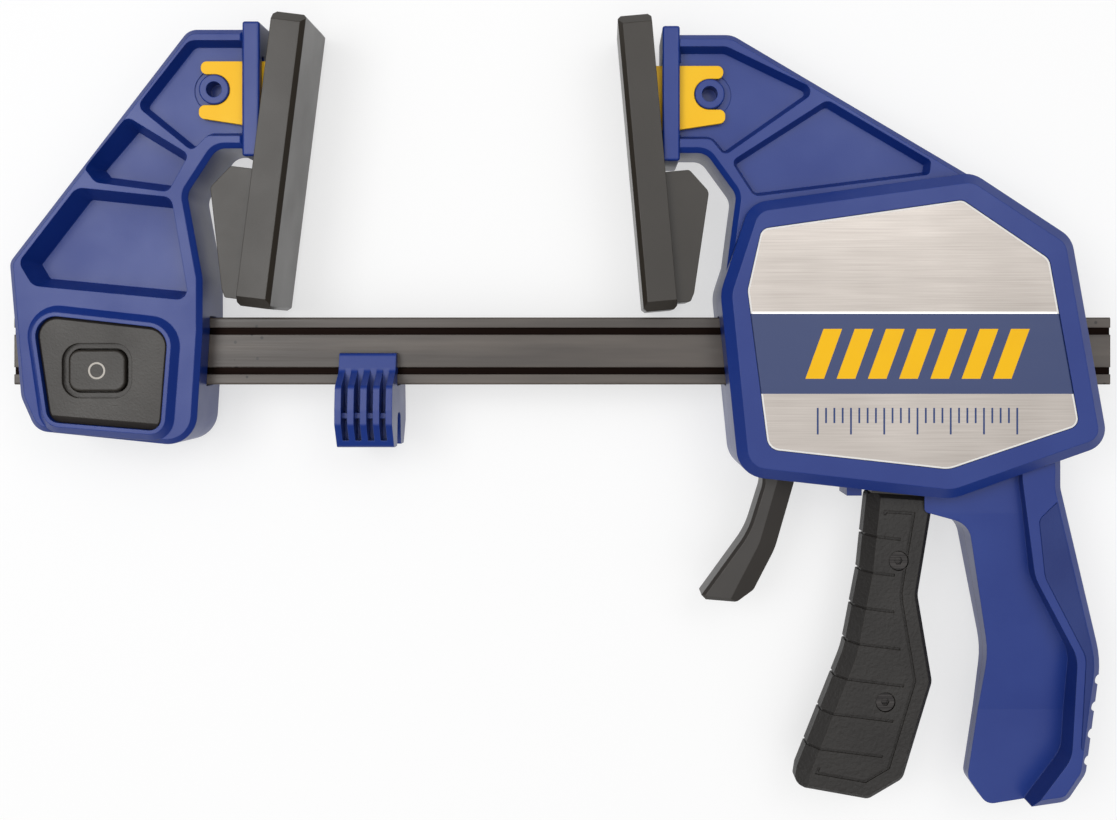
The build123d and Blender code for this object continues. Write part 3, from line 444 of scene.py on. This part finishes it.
@dataclass(frozen=True)
class Moulding:
    """Moulded plastic or rubber, with softened edges, faint clouds, a little dust, and painted shading along
    the edges: a painted highlight on most finishes, painted shade on the pad rubber.
    """

    name: str
    colour: Colour
    cloud: Colour
    roughness: float
    mould: Mould
    # Colour of the dust specks, and of the painted shading along the edges: paler than the plastic for a
    # painted highlight, darker on the pad rubber for painted shade
    edge_shading_and_dust: Colour
    # How strongly the painted edge shading shows
    edge_shading_strength: float = 0.2
    edge: float = 0.35 * MM
    dust: float = -0.08
    shine: float = 0.5
    seam_level: float | None = None
    cloud_scale: float = 38.0
    cloud_range: Range = (0.38, 0.68)
    dust_scale: float = 520.0
    dust_share: float = 0.35
    seam_width: float = 0.14 * MM
    seam_share: float = 0.75
    seam_colour: Colour = (0.0, 0.0, 0.002, 1.0)
    gloss_swing: float = 0.05

    def material(self, effects: Effects) -> bpy.types.Material:
        """Build the finish.

        Args:
            effects: The shared shader groups.

        Returns:
            The material.
        """
        surface = Surface(self.name)
        bench = surface.bench
        edges = bench.use(effects.rounding, Radius=self.edge)
        grain = bench.use(effects.grain, Scale=self.mould.scale, Cloud=self.cloud_scale)
        share = bench.spread(grain.outputs["Tone"], *self.cloud_range, 0.0, 1.0)
        colour = bench.blend(share, self.colour, self.cloud)
        # Painted shading along the edges: a painted highlight where the edge colour is paler, painted shade
        # where it is darker, as on the pad rubber
        edge_shading_share = bench.sum("MULTIPLY", edges.outputs["Edge"], self.edge_shading_strength)
        colour = bench.blend(edge_shading_share, colour, self.edge_shading_and_dust)
        specks = bench.use(effects.specks, Scale=self.dust_scale, Cover=self.dust)
        dusty = bench.sum("MULTIPLY", specks.outputs["Mask"], self.dust_share)
        colour = bench.blend(dusty, colour, self.edge_shading_and_dust)
        if self.seam_level is not None:
            seam = bench.use(effects.seam, Level=self.seam_level, Width=self.seam_width)
            dark = bench.sum("MULTIPLY", seam.outputs["Mask"], self.seam_share)
            colour = bench.blend(dark, colour, self.seam_colour)
        rough, smooth = self.roughness + self.gloss_swing, self.roughness - self.gloss_swing
        uneven = bench.spread(grain.outputs["Tone"], *NOISE_RANGE, rough, smooth)
        surface.put(Base_Color=colour, Roughness=uneven, Specular_IOR_Level=self.shine)
        surface.relief(grain.outputs["Height"], self.mould.depth, edges.outputs["Normal"])
        return surface.material


@dataclass(frozen=True)
class RolledSteel:
    """The bar: dark oiled steel with drawn lines and pits, a painted highlight along its edges and painted
    shade in its grooves.
    """

    name: str
    colour: Colour
    # Paler steel for the random broad bands, and for the painted highlight along the edges
    pale: Colour
    # Near-black for the pits, and for the painted shade in the grooves
    pits_and_groove_shade: Colour
    middle: Vector
    groove_plane: float
    groove_reach: float
    edge: float = 0.5 * MM
    # Strength of the painted highlight along the edges
    edge_highlight: float = 0.5
    fineness: float = 2400.0
    tone_range: Range = (0.35, 0.7)
    line_depth: float = 0.012 * MM
    pit_scale: float = 330.0
    pit_cover: float = 0.03
    pit_share: float = 0.8
    smooth: float = 0.34
    rough: float = 0.46
    shine: float = 0.6

    def material(self, effects: Effects) -> bpy.types.Material:
        """Build the finish.

        Args:
            effects: The shared shader groups.

        Returns:
            The material.
        """
        surface = Surface(self.name)
        bench = surface.bench
        edges = bench.use(effects.rounding, Radius=self.edge)
        lines = bench.use(effects.lines, Fineness=self.fineness)
        share = bench.spread(lines.outputs["Tone"], *self.tone_range, 0.0, 1.0)
        colour = bench.blend(share, self.colour, self.pale)
        # Painted highlight: the bar's edges are painted in the pale colour
        edge_shading_share = bench.sum("MULTIPLY", edges.outputs["Edge"], self.edge_highlight)
        colour = bench.blend(edge_shading_share, colour, self.pale)
        specks = bench.use(effects.specks, Scale=self.pit_scale, Cover=self.pit_cover)
        pitted = bench.sum("MULTIPLY", specks.outputs["Mask"], self.pit_share)
        colour = bench.blend(pitted, colour, self.pits_and_groove_shade)
        # Painted shade in the grooves: points sunk below the bar's faces, near its middle height, are painted
        # near-black and made metallic so that they reflect nothing
        axes = bench.axes()
        depth = bench.sum("ABSOLUTE", bench.sum("SUBTRACT", axes["Z"], self.middle.z))
        level = bench.sum("ABSOLUTE", bench.sum("SUBTRACT", axes["Y"], self.middle.y))
        sunk = bench.sum("LESS_THAN", depth, self.groove_plane)
        within = bench.sum("LESS_THAN", level, self.groove_reach)
        groove_shade = bench.sum("MULTIPLY", sunk, within)
        colour = bench.blend(groove_shade, colour, self.pits_and_groove_shade)
        surface.put(
            Base_Color=colour,
            Metallic=groove_shade,
            Roughness=bench.spread(lines.outputs["Height"], *NOISE_RANGE, self.smooth, self.rough),
            Specular_IOR_Level=self.shine,
        )
        surface.relief(lines.outputs["Height"], self.line_depth, edges.outputs["Normal"])
        return surface.material


@dataclass(frozen=True)
class BrushedPlate:
    """The label plate: brushed steel with a printed band, and a painted highlight in white along its cut
    edges.
    """

    name: str
    steel: Colour
    shade: Colour
    band: Colour
    # White of the painted highlight along the bare steel's edges; the line above the band is printed in the
    # same white
    rim_highlight: Colour
    band_low: float
    band_high: float
    line: float
    edge: float = 0.55 * MM
    fineness: float = 3200.0
    line_depth: float = 0.006 * MM
    line_share: float = 0.55
    cloud_scale: float = 26.0
    cloud_detail: float = 2.0
    cloud_range: Range = (0.35, 0.65)
    cloud_share: float = 0.45
    smooth: float = 0.3
    rough: float = 0.4

    def material(self, effects: Effects) -> bpy.types.Material:
        """Build the finish.

        Args:
            effects: The shared shader groups.

        Returns:
            The material.
        """
        surface = Surface(self.name)
        bench = surface.bench
        edges = bench.use(effects.rounding, Radius=self.edge)
        lines = bench.use(effects.lines, Fineness=self.fineness)
        cloud = bench.noise(bench.place(), self.cloud_scale, self.cloud_detail)
        share = bench.sum(
            "ADD",
            bench.spread(lines.outputs["Height"], *NOISE_RANGE, 0.0, self.line_share),
            bench.spread(cloud, *self.cloud_range, 0.0, self.cloud_share),
        )
        colour = bench.blend(share, self.steel, self.shade)
        level = bench.axes()["Y"]
        in_band = bench.sum("MULTIPLY", bench.sum("GREATER_THAN", level, self.band_low),
                            bench.sum("LESS_THAN", level, self.band_high))
        in_line = bench.sum("MULTIPLY", bench.sum("GREATER_THAN", level, self.band_high),
                            bench.sum("LESS_THAN", level, self.band_high + self.line))
        colour = bench.blend(in_band, colour, self.band)
        bare = bench.sum("SUBTRACT", 1.0, in_band)
        # Painted highlight: the bare steel's edges are painted white and lose their metal, standing in for
        # the light that the cut edges catch
        rim_highlight = bench.sum("MULTIPLY", edges.outputs["Edge"], bare)
        colour = bench.blend(bench.sum("MAXIMUM", rim_highlight, in_line), colour, self.rim_highlight)
        gloss = bench.spread(lines.outputs["Tone"], *NOISE_RANGE, self.smooth, self.rough)
        surface.put(Base_Color=colour, Metallic=bench.sum("SUBTRACT", bare, rim_highlight), Roughness=gloss)
        height = bench.sum("MULTIPLY", lines.outputs["Height"], bare)
        surface.relief(height, self.line_depth, edges.outputs["Normal"])
        return surface.material


@dataclass(frozen=True)
class GroundSteel:
    """Pins, plates, springs and screws, with a painted highlight along their edges."""

    name: str
    colour: Colour
    # Paler steel for the drawn lines, and for the painted highlight along the edges
    pale: Colour
    roughness: float
    metallic: float
    edge: float = 0.2 * MM
    # Strength of the painted highlight along the edges
    edge_highlight: float = 0.6
    fineness: float = 3600.0
    line_depth: float = 0.008 * MM
    line_share: float = 0.5
    line_range: Range = (0.35, 0.75)
    gloss_swing: float = 0.06

    def material(self, effects: Effects) -> bpy.types.Material:
        """Build the finish.

        Args:
            effects: The shared shader groups.

        Returns:
            The material.
        """
        surface = Surface(self.name)
        bench = surface.bench
        edges = bench.use(effects.rounding, Radius=self.edge)
        lines = bench.use(effects.lines, Fineness=self.fineness)
        # Painted highlight: the edges are painted in the pale colour, and the drawn lines show as grain; no
        # dust is painted here
        edge_shading_and_dust = bench.sum("MULTIPLY", edges.outputs["Edge"], self.edge_highlight)
        drawn = bench.spread(lines.outputs["Height"], *self.line_range, 0.0, self.line_share)
        share = bench.sum("MAXIMUM", edge_shading_and_dust, drawn)
        smooth, rough = self.roughness - self.gloss_swing, self.roughness + self.gloss_swing
        surface.put(
            Base_Color=bench.blend(share, self.colour, self.pale),
            Metallic=self.metallic,
            Roughness=bench.spread(lines.outputs["Tone"], *NOISE_RANGE, smooth, rough),
        )
        surface.relief(lines.outputs["Height"], self.line_depth, edges.outputs["Normal"])
        return surface.material


@dataclass(frozen=True)
class Ink:
    """Printed colour, thinned here and there."""

    name: str
    colour: Colour
    thin: Colour
    roughness: float
    grain_scale: float = 1800.0
    cloud_scale: float = 120.0
    thin_share: float = 0.6
    thin_range: Range = (0.45, 0.8)
    gloss_swing: float = 0.08
    shine: float = 0.2

    def material(self, effects: Effects) -> bpy.types.Material:
        """Build the finish.

        Args:
            effects: The shared shader groups.

        Returns:
            The material.
        """
        surface = Surface(self.name)
        bench = surface.bench
        grain = bench.use(effects.grain, Scale=self.grain_scale, Cloud=self.cloud_scale)
        share = bench.spread(grain.outputs["Tone"], *self.thin_range, 0.0, self.thin_share)
        rough = self.roughness + self.gloss_swing
        surface.put(
            Base_Color=bench.blend(share, self.colour, self.thin),
            Roughness=bench.spread(grain.outputs["Height"], *NOISE_RANGE, self.roughness, rough),
            Specular_IOR_Level=self.shine,
        )
        return surface.material


def dress(frame: dict, material: bpy.types.Material, *names: str) -> None:
    """Give CAD nodes a finish.

    Args:
        material: The finish.
        names: The nodes' names.
    """
    for name in names:
        slots = frame["nodes"][name].data.materials
        slots.clear()
        slots.append(material)
        LOG.info("%s wears %s", name, material.name)


def raise_faces(mesh: bmesh.types.BMesh, faces: list[bmesh.types.BMFace], height: float) -> None:
    """Thicken flat faces upwards.

    Args:
        mesh: The shape under way.
        faces: Its flat faces.
        height: How far their copies rise.
    """
    raised = bmesh.ops.extrude_face_region(mesh, geom=faces)["geom"]
    tops = [vert for vert in raised if isinstance(vert, bmesh.types.BMVert)]
    bmesh.ops.translate(mesh, verts=tops, vec=(0, 0, height))


def piece_of(
    mesh: bmesh.types.BMesh, name: str, body: str, material: bpy.types.Material,
) -> bpy.types.Object:
    """Turn a finished bmesh into a piece that rides on a body.

    Args:
        mesh: The shape, in the part's frame.
        name: The piece's name.
        body: The body that it rides on.
        material: The finish.

    Returns:
        The piece.
    """
    bmesh.ops.remove_doubles(mesh, verts=mesh.verts, dist=PRINT_WELD)
    bmesh.ops.recalc_face_normals(mesh, faces=mesh.faces)
    data = bpy.data.meshes.new(name)
    mesh.to_mesh(data)
    mesh.free()
    data.materials.append(material)
    piece = bpy.data.objects.new(name, data)
    bpy.context.scene.collection.objects.link(piece)
    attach(piece, body)
    LOG.info("%s has %d faces", name, len(data.polygons))
    return piece


@dataclass
class BarAndClip:
    """The bar and the ribbed clip that hangs on it."""

    # The painted shade in the grooves covers points nearer the bar's mid-plane than this share of its half
    # thickness, and nearer its middle height than this reach
    groove_share: float = 0.86
    groove_reach: float = 8.0 * MM

    def build(self, frame: dict, effects: Effects, blue: bpy.types.Material) -> None:
        """Dress the bar and its clip.

        Args:
            effects: The shared shader groups.
            blue: The blue plastic.
        """
        low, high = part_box("bar")
        middle = (low + high) / 2
        steel = RolledSteel(
            "bar_steel", colour=on_screen(64, 56, 50), pale=on_screen(94, 85, 77),
            pits_and_groove_shade=on_screen(18, 12, 10), middle=middle,
            groove_plane=(high.z - low.z) / 2 * self.groove_share, groove_reach=self.groove_reach,
        )
        dress(frame, steel.material(effects), "bar")
        dress(frame, blue, "bar_clip")


@dataclass
class FixedJaw:
    """The jaw on the bar's end, with its latch, pad and clip."""

    mark_ring: float = 2.6 * MM
    mark_line: float = 0.55 * MM
    mark_height: float = 0.12 * MM
    mark_below_top: float = 8.15 * MM
    mark_sides: int = 48

    def build(self, frame: dict, looks: dict[str, bpy.types.Material]) -> None:
        """Dress the jaw and add the button's mark.

        Args:
            looks: The finishes by name.
        """
        dress(frame, looks["blue"], "fixed_jaw")
        dress(frame, looks["cover"], "latch_cover", "push_button")
        dress(frame, looks["rubber"], "fixed_pad")
        dress(frame, looks["yellow"], "fixed_pad_clip")
        dress(frame, looks["steel"], "latch_key", "latch_spring")
        self.press_mark(looks["pale"])

    def press_mark(self, pale: bpy.types.Material) -> bpy.types.Object:
        """Add a plain raised ring on the push button.

        Args:
            pale: The ring's finish.

        Returns:
            The piece.
        """
        low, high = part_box("push_button")
        mesh = bmesh.new()
        outer = bmesh.ops.create_circle(mesh, segments=self.mark_sides, radius=self.mark_ring)["verts"]
        bore = self.mark_ring - self.mark_line
        inner = bmesh.ops.create_circle(mesh, segments=self.mark_sides, radius=bore)["verts"]
        loops = {edge for vert in outer + inner for edge in vert.link_edges}
        ring = bmesh.ops.bridge_loops(mesh, edges=list(loops))["faces"]
        raise_faces(mesh, ring, self.mark_height)
        centre = Vector(((low.x + high.x) / 2, high.y - self.mark_below_top, high.z - self.mark_height / 2))
        bmesh.ops.translate(mesh, verts=mesh.verts, vec=centre)
        return piece_of(mesh, "press_mark", "push_button", pale)


@dataclass
class MovingJaw:
    """The body with its arm, handle, label plate, trigger and release lever."""

    stripe_count: int = 7
    stripe_width: float = 5.6 * MM
    stripe_pitch: float = 9.4 * MM
    stripe_height: float = 15.0 * MM
    stripe_lean: float = 20.0
    tick_count: int = 25
    tick_pitch: float = 2.5 * MM
    tick_width: float = 0.55 * MM
    tick_tall: float = 8.0 * MM
    tick_short: float = 4.6 * MM
    tick_every: int = 4
    ink_height: float = 0.03 * MM
    design_shift: float = 1.4 * MM
    tick_level: float = 4.2 * MM
    band_base: float = 22.5 * MM
    band_top: float = 46.6 * MM
    band_line: float = 0.6 * MM
    # Width of the painted highlight line along the label's edge
    edge_highlight_width: float = 0.5 * MM

    def label_finish(self) -> BrushedPlate:
        """Lay the plate's band out from its lower edge.

        Returns:
            The label plate's finish.
        """
        low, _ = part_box("label_plate")
        return BrushedPlate(
            "label_steel", steel=on_screen(181, 174, 168), shade=on_screen(157, 150, 144),
            band=on_screen(42, 60, 110), rim_highlight=on_screen(250, 248, 245),
            band_low=low.y + self.band_base, band_high=low.y + self.band_top, line=self.band_line,
        )

    def build(self, frame: dict, looks: dict[str, bpy.types.Material], effects: Effects) -> None:
        """Dress the jaw's nodes, print the label and add a painted highlight along its edge.

        Args:
            looks: The finishes by name.
            effects: The shared shader groups.
        """
        plate = self.label_finish()
        dress(frame, looks["split_blue"], "housing_front", "housing_rear")
        dress(frame, plate.material(effects), "label_plate")
        dress(frame, looks["grip"], "handle_grip_front", "handle_grip_rear")
        dress(frame, looks["rubber"], "moving_pad")
        dress(frame, looks["yellow"], "moving_pad_clip")
        dress(frame, looks["black"], "release_lever", "trigger_core")
        dress(frame, looks["pebble"], "trigger_grip_front", "trigger_grip_rear")
        dress(frame, looks["screws"], "housing_screws", "trigger_screws")
        dress(frame, looks["steel"], "trigger_pin", "drive_plates", "drive_spring")
        dress(frame, looks["steel"], "brake_plates", "brake_pin", "brake_spring")
        low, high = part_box("label_plate")
        centre = (low.x + high.x) / 2 + self.design_shift
        self.stripes(Vector((centre, (plate.band_low + plate.band_high) / 2, high.z)), looks["yellow_ink"])
        self.ticks(Vector((centre, plate.band_low - self.tick_level, high.z)), looks["slate_ink"])
        # Painted highlight along the label's cut edge
        self.edge_highlight_line(frame, plate, looks["white_highlight"])

    def stripes(self, centre: Vector, ink: bpy.types.Material) -> bpy.types.Object:
        """Print a row of plain slanted stripes in the label's band.

        Args:
            centre: Middle of the row.
            ink: The stripes' finish.

        Returns:
            The piece.
        """
        mesh = bmesh.new()
        for step in range(self.stripe_count):
            across = (step - (self.stripe_count - 1) / 2) * self.stripe_pitch
            self._bar(mesh, self.stripe_width, self.stripe_height, Vector((across, 0, 0)), self.stripe_lean)
        bmesh.ops.translate(mesh, verts=mesh.verts, vec=centre)
        return piece_of(mesh, "label_stripes", "moving_jaw", ink)

    def ticks(self, top: Vector, ink: bpy.types.Material) -> bpy.types.Object:
        """Print a plain scale of ticks under the label's band.

        Args:
            top: Middle of the line that the ticks hang from.
            ink: The ticks' finish.

        Returns:
            The piece.
        """
        mesh = bmesh.new()
        for step in range(self.tick_count):
            across = (step - (self.tick_count - 1) / 2) * self.tick_pitch
            height = self.tick_short if step % self.tick_every else self.tick_tall
            self._bar(mesh, self.tick_width, height, Vector((across, -height / 2, 0)), 0.0)
        bmesh.ops.translate(mesh, verts=mesh.verts, vec=top)
        return piece_of(mesh, "label_ticks", "moving_jaw", ink)

    def edge_highlight_line(self, frame: dict, plate: BrushedPlate, ink: bpy.types.Material) -> bpy.types.Object:
        """Add a painted highlight: a pale line along the edge of the label's bare steel, standing in for the
        light that its cut edge catches.

        Args:
            plate: The plate's finish, which holds the band's place.
            ink: The line's finish.

        Returns:
            The piece.
        """
        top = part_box("label_plate")[1].z
        mesh = bmesh.new()
        mesh.from_mesh(frame["nodes"]["label_plate"].data)
        bmesh.ops.remove_doubles(mesh, verts=mesh.verts, dist=CAD_WELD)
        lower = [face for face in mesh.faces if face.calc_center_median().z < top - self.ink_height]
        bmesh.ops.delete(mesh, geom=lower, context="FACES")
        bmesh.ops.dissolve_faces(mesh, faces=list(mesh.faces))
        middle = list(mesh.faces)
        bmesh.ops.inset_region(
            mesh, faces=middle, thickness=self.edge_highlight_width, use_boundary=True, use_even_offset=True,
        )
        bmesh.ops.delete(mesh, geom=middle, context="FACES")
        for level in (plate.band_low, plate.band_high):
            whole = [*mesh.verts, *mesh.edges, *mesh.faces]
            bmesh.ops.bisect_plane(mesh, geom=whole, plane_co=(0, level, 0), plane_no=(0, 1, 0))
        printed = [
            face for face in mesh.faces
            if plate.band_low < face.calc_center_median().y < plate.band_high
        ]
        bmesh.ops.delete(mesh, geom=printed, context="FACES")
        raise_faces(mesh, list(mesh.faces), self.ink_height)
        return piece_of(mesh, "label_edge_highlight", "moving_jaw", ink)

    def _bar(self, mesh: bmesh.types.BMesh, width: float, height: float, place: Vector, lean: float) -> None:
        """Add one flat printed bar.

        Args:
            mesh: The print under way.
            width: The bar's width.
            height: The bar's height.
            place: The bar's middle.
            lean: How far it leans to the right, in degrees.
        """
        slant = math.tan(math.radians(lean))
        made = bmesh.ops.create_grid(mesh, x_segments=1, y_segments=1, size=0.5)["verts"]
        for vert in made:
            vert.co = Vector((vert.co.x * width + vert.co.y * height * slant, vert.co.y * height, 0)) + place
        faces = list({face for vert in made for face in vert.link_faces})
        raise_faces(mesh, faces, self.ink_height)


@dataclass
class Studio:
    """Floor, light and camera."""

    view_centre: Vector = Vector((-0.7 * MM, 1.15 * MM, 458.0 * MM))
    eye_offset: Vector = Vector((14.0 * MM, 22.0 * MM, 0.0))
    view_width: float = 337.3 * MM
    view_distance: float = 420.0 * MM
    sensor_width: float = 36.0
    near_clip: float = 0.01
    floor_half: float = 12.0
    floor_grey: float = 0.42
    floor_glow: float = 0.6
    floor_roughness: float = 0.9
    floor_shine: float = 0.1
    dome_top: float = 1.72
    dome_horizon: float = 0.25
    dome_low: float = 0.6
    dome_high: float = 0.93
    key_place: Vector = Vector((-0.43, 0.15, 0.95))
    key_size: float = 0.42
    key_power: float = 2.2
    fill_place: Vector = Vector((0.32, 0.32, 0.95))
    fill_size: float = 0.36
    fill_power: float = 0.9

    def build(self) -> None:
        """Set the whole stage."""
        bpy.context.scene.view_settings.view_transform = "Standard"
        self.floor()
        self.dome()
        self.lamp("key_softbox", self.key_place, self.key_size, self.key_power)
        self.lamp("fill_softbox", self.fill_place, self.fill_size, self.fill_power)
        self.camera()

    def floor(self) -> None:
        """A floor that looks white to the eye and in reflections, and keeps the clamp's shadow."""
        mesh = bmesh.new()
        bmesh.ops.create_grid(mesh, x_segments=2, y_segments=2, size=self.floor_half)
        data = bpy.data.meshes.new("floor")
        mesh.to_mesh(data)
        mesh.free()
        floor = bpy.data.objects.new("floor", data)
        bpy.context.scene.collection.objects.link(floor)
        material = bpy.data.materials.new("white_floor")
        material.use_nodes = True
        bench = NodeBench(material.node_tree)
        shader = bench.add("ShaderNodeBsdfPrincipled")
        shader.inputs["Base Color"].default_value = (self.floor_grey, self.floor_grey, self.floor_grey, 1.0)
        shader.inputs["Roughness"].default_value = self.floor_roughness
        shader.inputs["Specular IOR Level"].default_value = self.floor_shine
        shader.inputs["Emission Color"].default_value = (1.0, 1.0, 1.0, 1.0)
        rays = bench.add("ShaderNodeLightPath").outputs
        seen = bench.sum("MAXIMUM", rays["Is Glossy Ray"], rays["Is Transmission Ray"])
        seen = bench.sum("MAXIMUM", rays["Is Camera Ray"], seen)
        bench.feed(shader.inputs["Emission Strength"], bench.sum("MULTIPLY", seen, self.floor_glow))
        output = bench.add("ShaderNodeOutputMaterial")
        bench.feed(output.inputs["Surface"], shader.outputs["BSDF"])
        data.materials.append(material)

    def dome(self) -> None:
        """A sky that is bright overhead and dim at the horizon."""
        world = bpy.data.worlds.new("studio")
        world.use_nodes = True
        bpy.context.scene.world = world
        bench = NodeBench(world.node_tree)
        split = bench.add("ShaderNodeSeparateXYZ")
        bench.feed(split.inputs[0], bench.add("ShaderNodeTexCoord").outputs["Generated"])
        strength = bench.spread(
            split.outputs["Z"], self.dome_low, self.dome_high, self.dome_horizon, self.dome_top,
        )
        sky = bench.add("ShaderNodeBackground")
        bench.feed(sky.inputs["Strength"], strength)
        output = bench.add("ShaderNodeOutputWorld")
        bench.feed(output.inputs["Surface"], sky.outputs["Background"])

    @staticmethod
    def lamp(name: str, place: Vector, size: float, power: float) -> None:
        """Hang one square softbox that faces the clamp.

        Args:
            name: The lamp's name.
            place: Where it hangs.
            size: Length of its sides.
            power: Its power in watts.
        """
        data = bpy.data.lights.new(name, "AREA")
        data.shape = "SQUARE"
        data.size = size
        data.energy = power
        lamp = bpy.data.objects.new(name, data)
        lamp.location = place
        lamp.visible_camera = False
        lamp.rotation_mode = "QUATERNION"
        lamp.rotation_quaternion = (-place).to_track_quat("-Z", "Y")
        bpy.context.scene.collection.objects.link(lamp)

    def camera(self) -> None:
        """Look straight down on the clamp's front, with the jaws up."""
        data = bpy.data.cameras.new("photo_camera")
        data.sensor_width = self.sensor_width
        data.lens = self.sensor_width * self.view_distance / self.view_width
        data.shift_x = -self.eye_offset.x / self.view_width
        data.shift_y = -self.eye_offset.y / self.view_width
        data.clip_start = self.near_clip
        camera = bpy.data.objects.new("photo_camera", data)
        camera.location = self.view_centre + self.eye_offset
        bpy.context.scene.collection.objects.link(camera)
        bpy.context.scene.camera = camera


def finishes(effects: Effects) -> dict[str, bpy.types.Material]:
    """Make the finishes that several nodes wear.

    Args:
        effects: The shared shader groups.

    Returns:
        The materials by short name.
    """
    low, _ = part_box("housing_front")
    blue = on_screen(15, 48, 130)
    blue_cloud = on_screen(22, 54, 136)
    # Paler blue painted on the edges as a painted highlight, and on dust specks
    blue_edge_light_and_dust = on_screen(92, 112, 176)
    # In each moulding, the edge colour is painted along the edges, as a painted highlight where it is paler
    # and painted shade where it is darker, and on dust specks
    recipes = {
        "blue": Moulding(
            "jaw_blue", colour=blue, cloud=blue_cloud,
            roughness=0.34, mould=Mould.SATIN, edge_shading_and_dust=blue_edge_light_and_dust, shine=0.45,
        ),
        "split_blue": Moulding(
            "body_blue", colour=blue, cloud=blue_cloud,
            roughness=0.34, mould=Mould.SATIN, edge_shading_and_dust=blue_edge_light_and_dust, shine=0.42, seam_level=low.z,
        ),
        "grip": Moulding(
            "grip_blue", colour=on_screen(10, 40, 112), cloud=on_screen(18, 48, 120),
            roughness=0.55, mould=Mould.SPARK, edge_shading_and_dust=blue_edge_light_and_dust,
        ),
        "cover": Moulding(
            "cover_black", colour=on_screen(46, 42, 38), cloud=on_screen(52, 48, 43),
            roughness=0.42, mould=Mould.SPARK, edge_shading_and_dust=on_screen(110, 104, 98),
        ),
        # The lever's paler edge colour, painted twice as strongly, is a painted highlight along its ridges
        "black": Moulding(
            "lever_black", colour=on_screen(50, 46, 43), cloud=on_screen(56, 52, 48),
            roughness=0.42, mould=Mould.SATIN, edge_shading_and_dust=on_screen(126, 119, 112), edge_shading_strength=0.4,
        ),
        "pebble": Moulding(
            "trigger_black", colour=on_screen(31, 28, 26), cloud=on_screen(37, 34, 31),
            roughness=0.55, mould=Mould.PEBBLE, edge_shading_and_dust=on_screen(105, 98, 92),
        ),
        # The rubber's darker edge colour is painted shade along the pads' edges, and also colours their dust
        "rubber": Moulding(
            "pad_rubber", colour=on_screen(40, 34, 26), cloud=on_screen(45, 39, 31),
            roughness=0.34, mould=Mould.SATIN, edge_shading_and_dust=on_screen(24, 20, 16),
        ),
        "yellow": Moulding(
            "clip_yellow", colour=on_screen(255, 194, 8), cloud=on_screen(255, 200, 16),
            roughness=0.4, mould=Mould.SATIN, edge_shading_and_dust=on_screen(255, 218, 96), shine=0.25,
        ),
        "pale": Ink(
            "pale_mark", colour=on_screen(198, 192, 184), thin=on_screen(160, 154, 146), roughness=0.5,
        ),
        "yellow_ink": Ink(
            "yellow_ink", colour=on_screen(255, 196, 6), thin=on_screen(250, 189, 12), roughness=0.42,
        ),
        # White for the painted highlight line along the label's edge
        "white_highlight": Ink(
            "white_highlight", colour=on_screen(240, 238, 234), thin=on_screen(232, 229, 225), roughness=0.4,
        ),
        "slate_ink": Ink(
            "slate_ink", colour=on_screen(52, 72, 122), thin=on_screen(66, 84, 130), roughness=0.42,
        ),
        "steel": GroundSteel(
            "plain_steel", colour=on_screen(150, 150, 154), pale=on_screen(205, 205, 208),
            roughness=0.34, metallic=1.0,
        ),
        "screws": GroundSteel(
            "black_screws", colour=on_screen(30, 28, 28), pale=on_screen(96, 92, 90),
            roughness=0.36, metallic=0.6,
        ),
    }
    return {name: recipe.material(effects) for name, recipe in recipes.items()}


def main() -> None:
    """Load the frame, dress every node, add the prints and the painted highlight line, and set the stage."""
    logging.basicConfig(level=logging.INFO, format="%(name)s: %(message)s")
    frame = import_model()
    effects = Effects()
    looks = finishes(effects)
    BarAndClip().build(frame, effects, looks["blue"])
    FixedJaw().build(frame, looks)
    MovingJaw().build(frame, looks, effects)
    Studio().build()


if __name__ == "__main__":
    main()
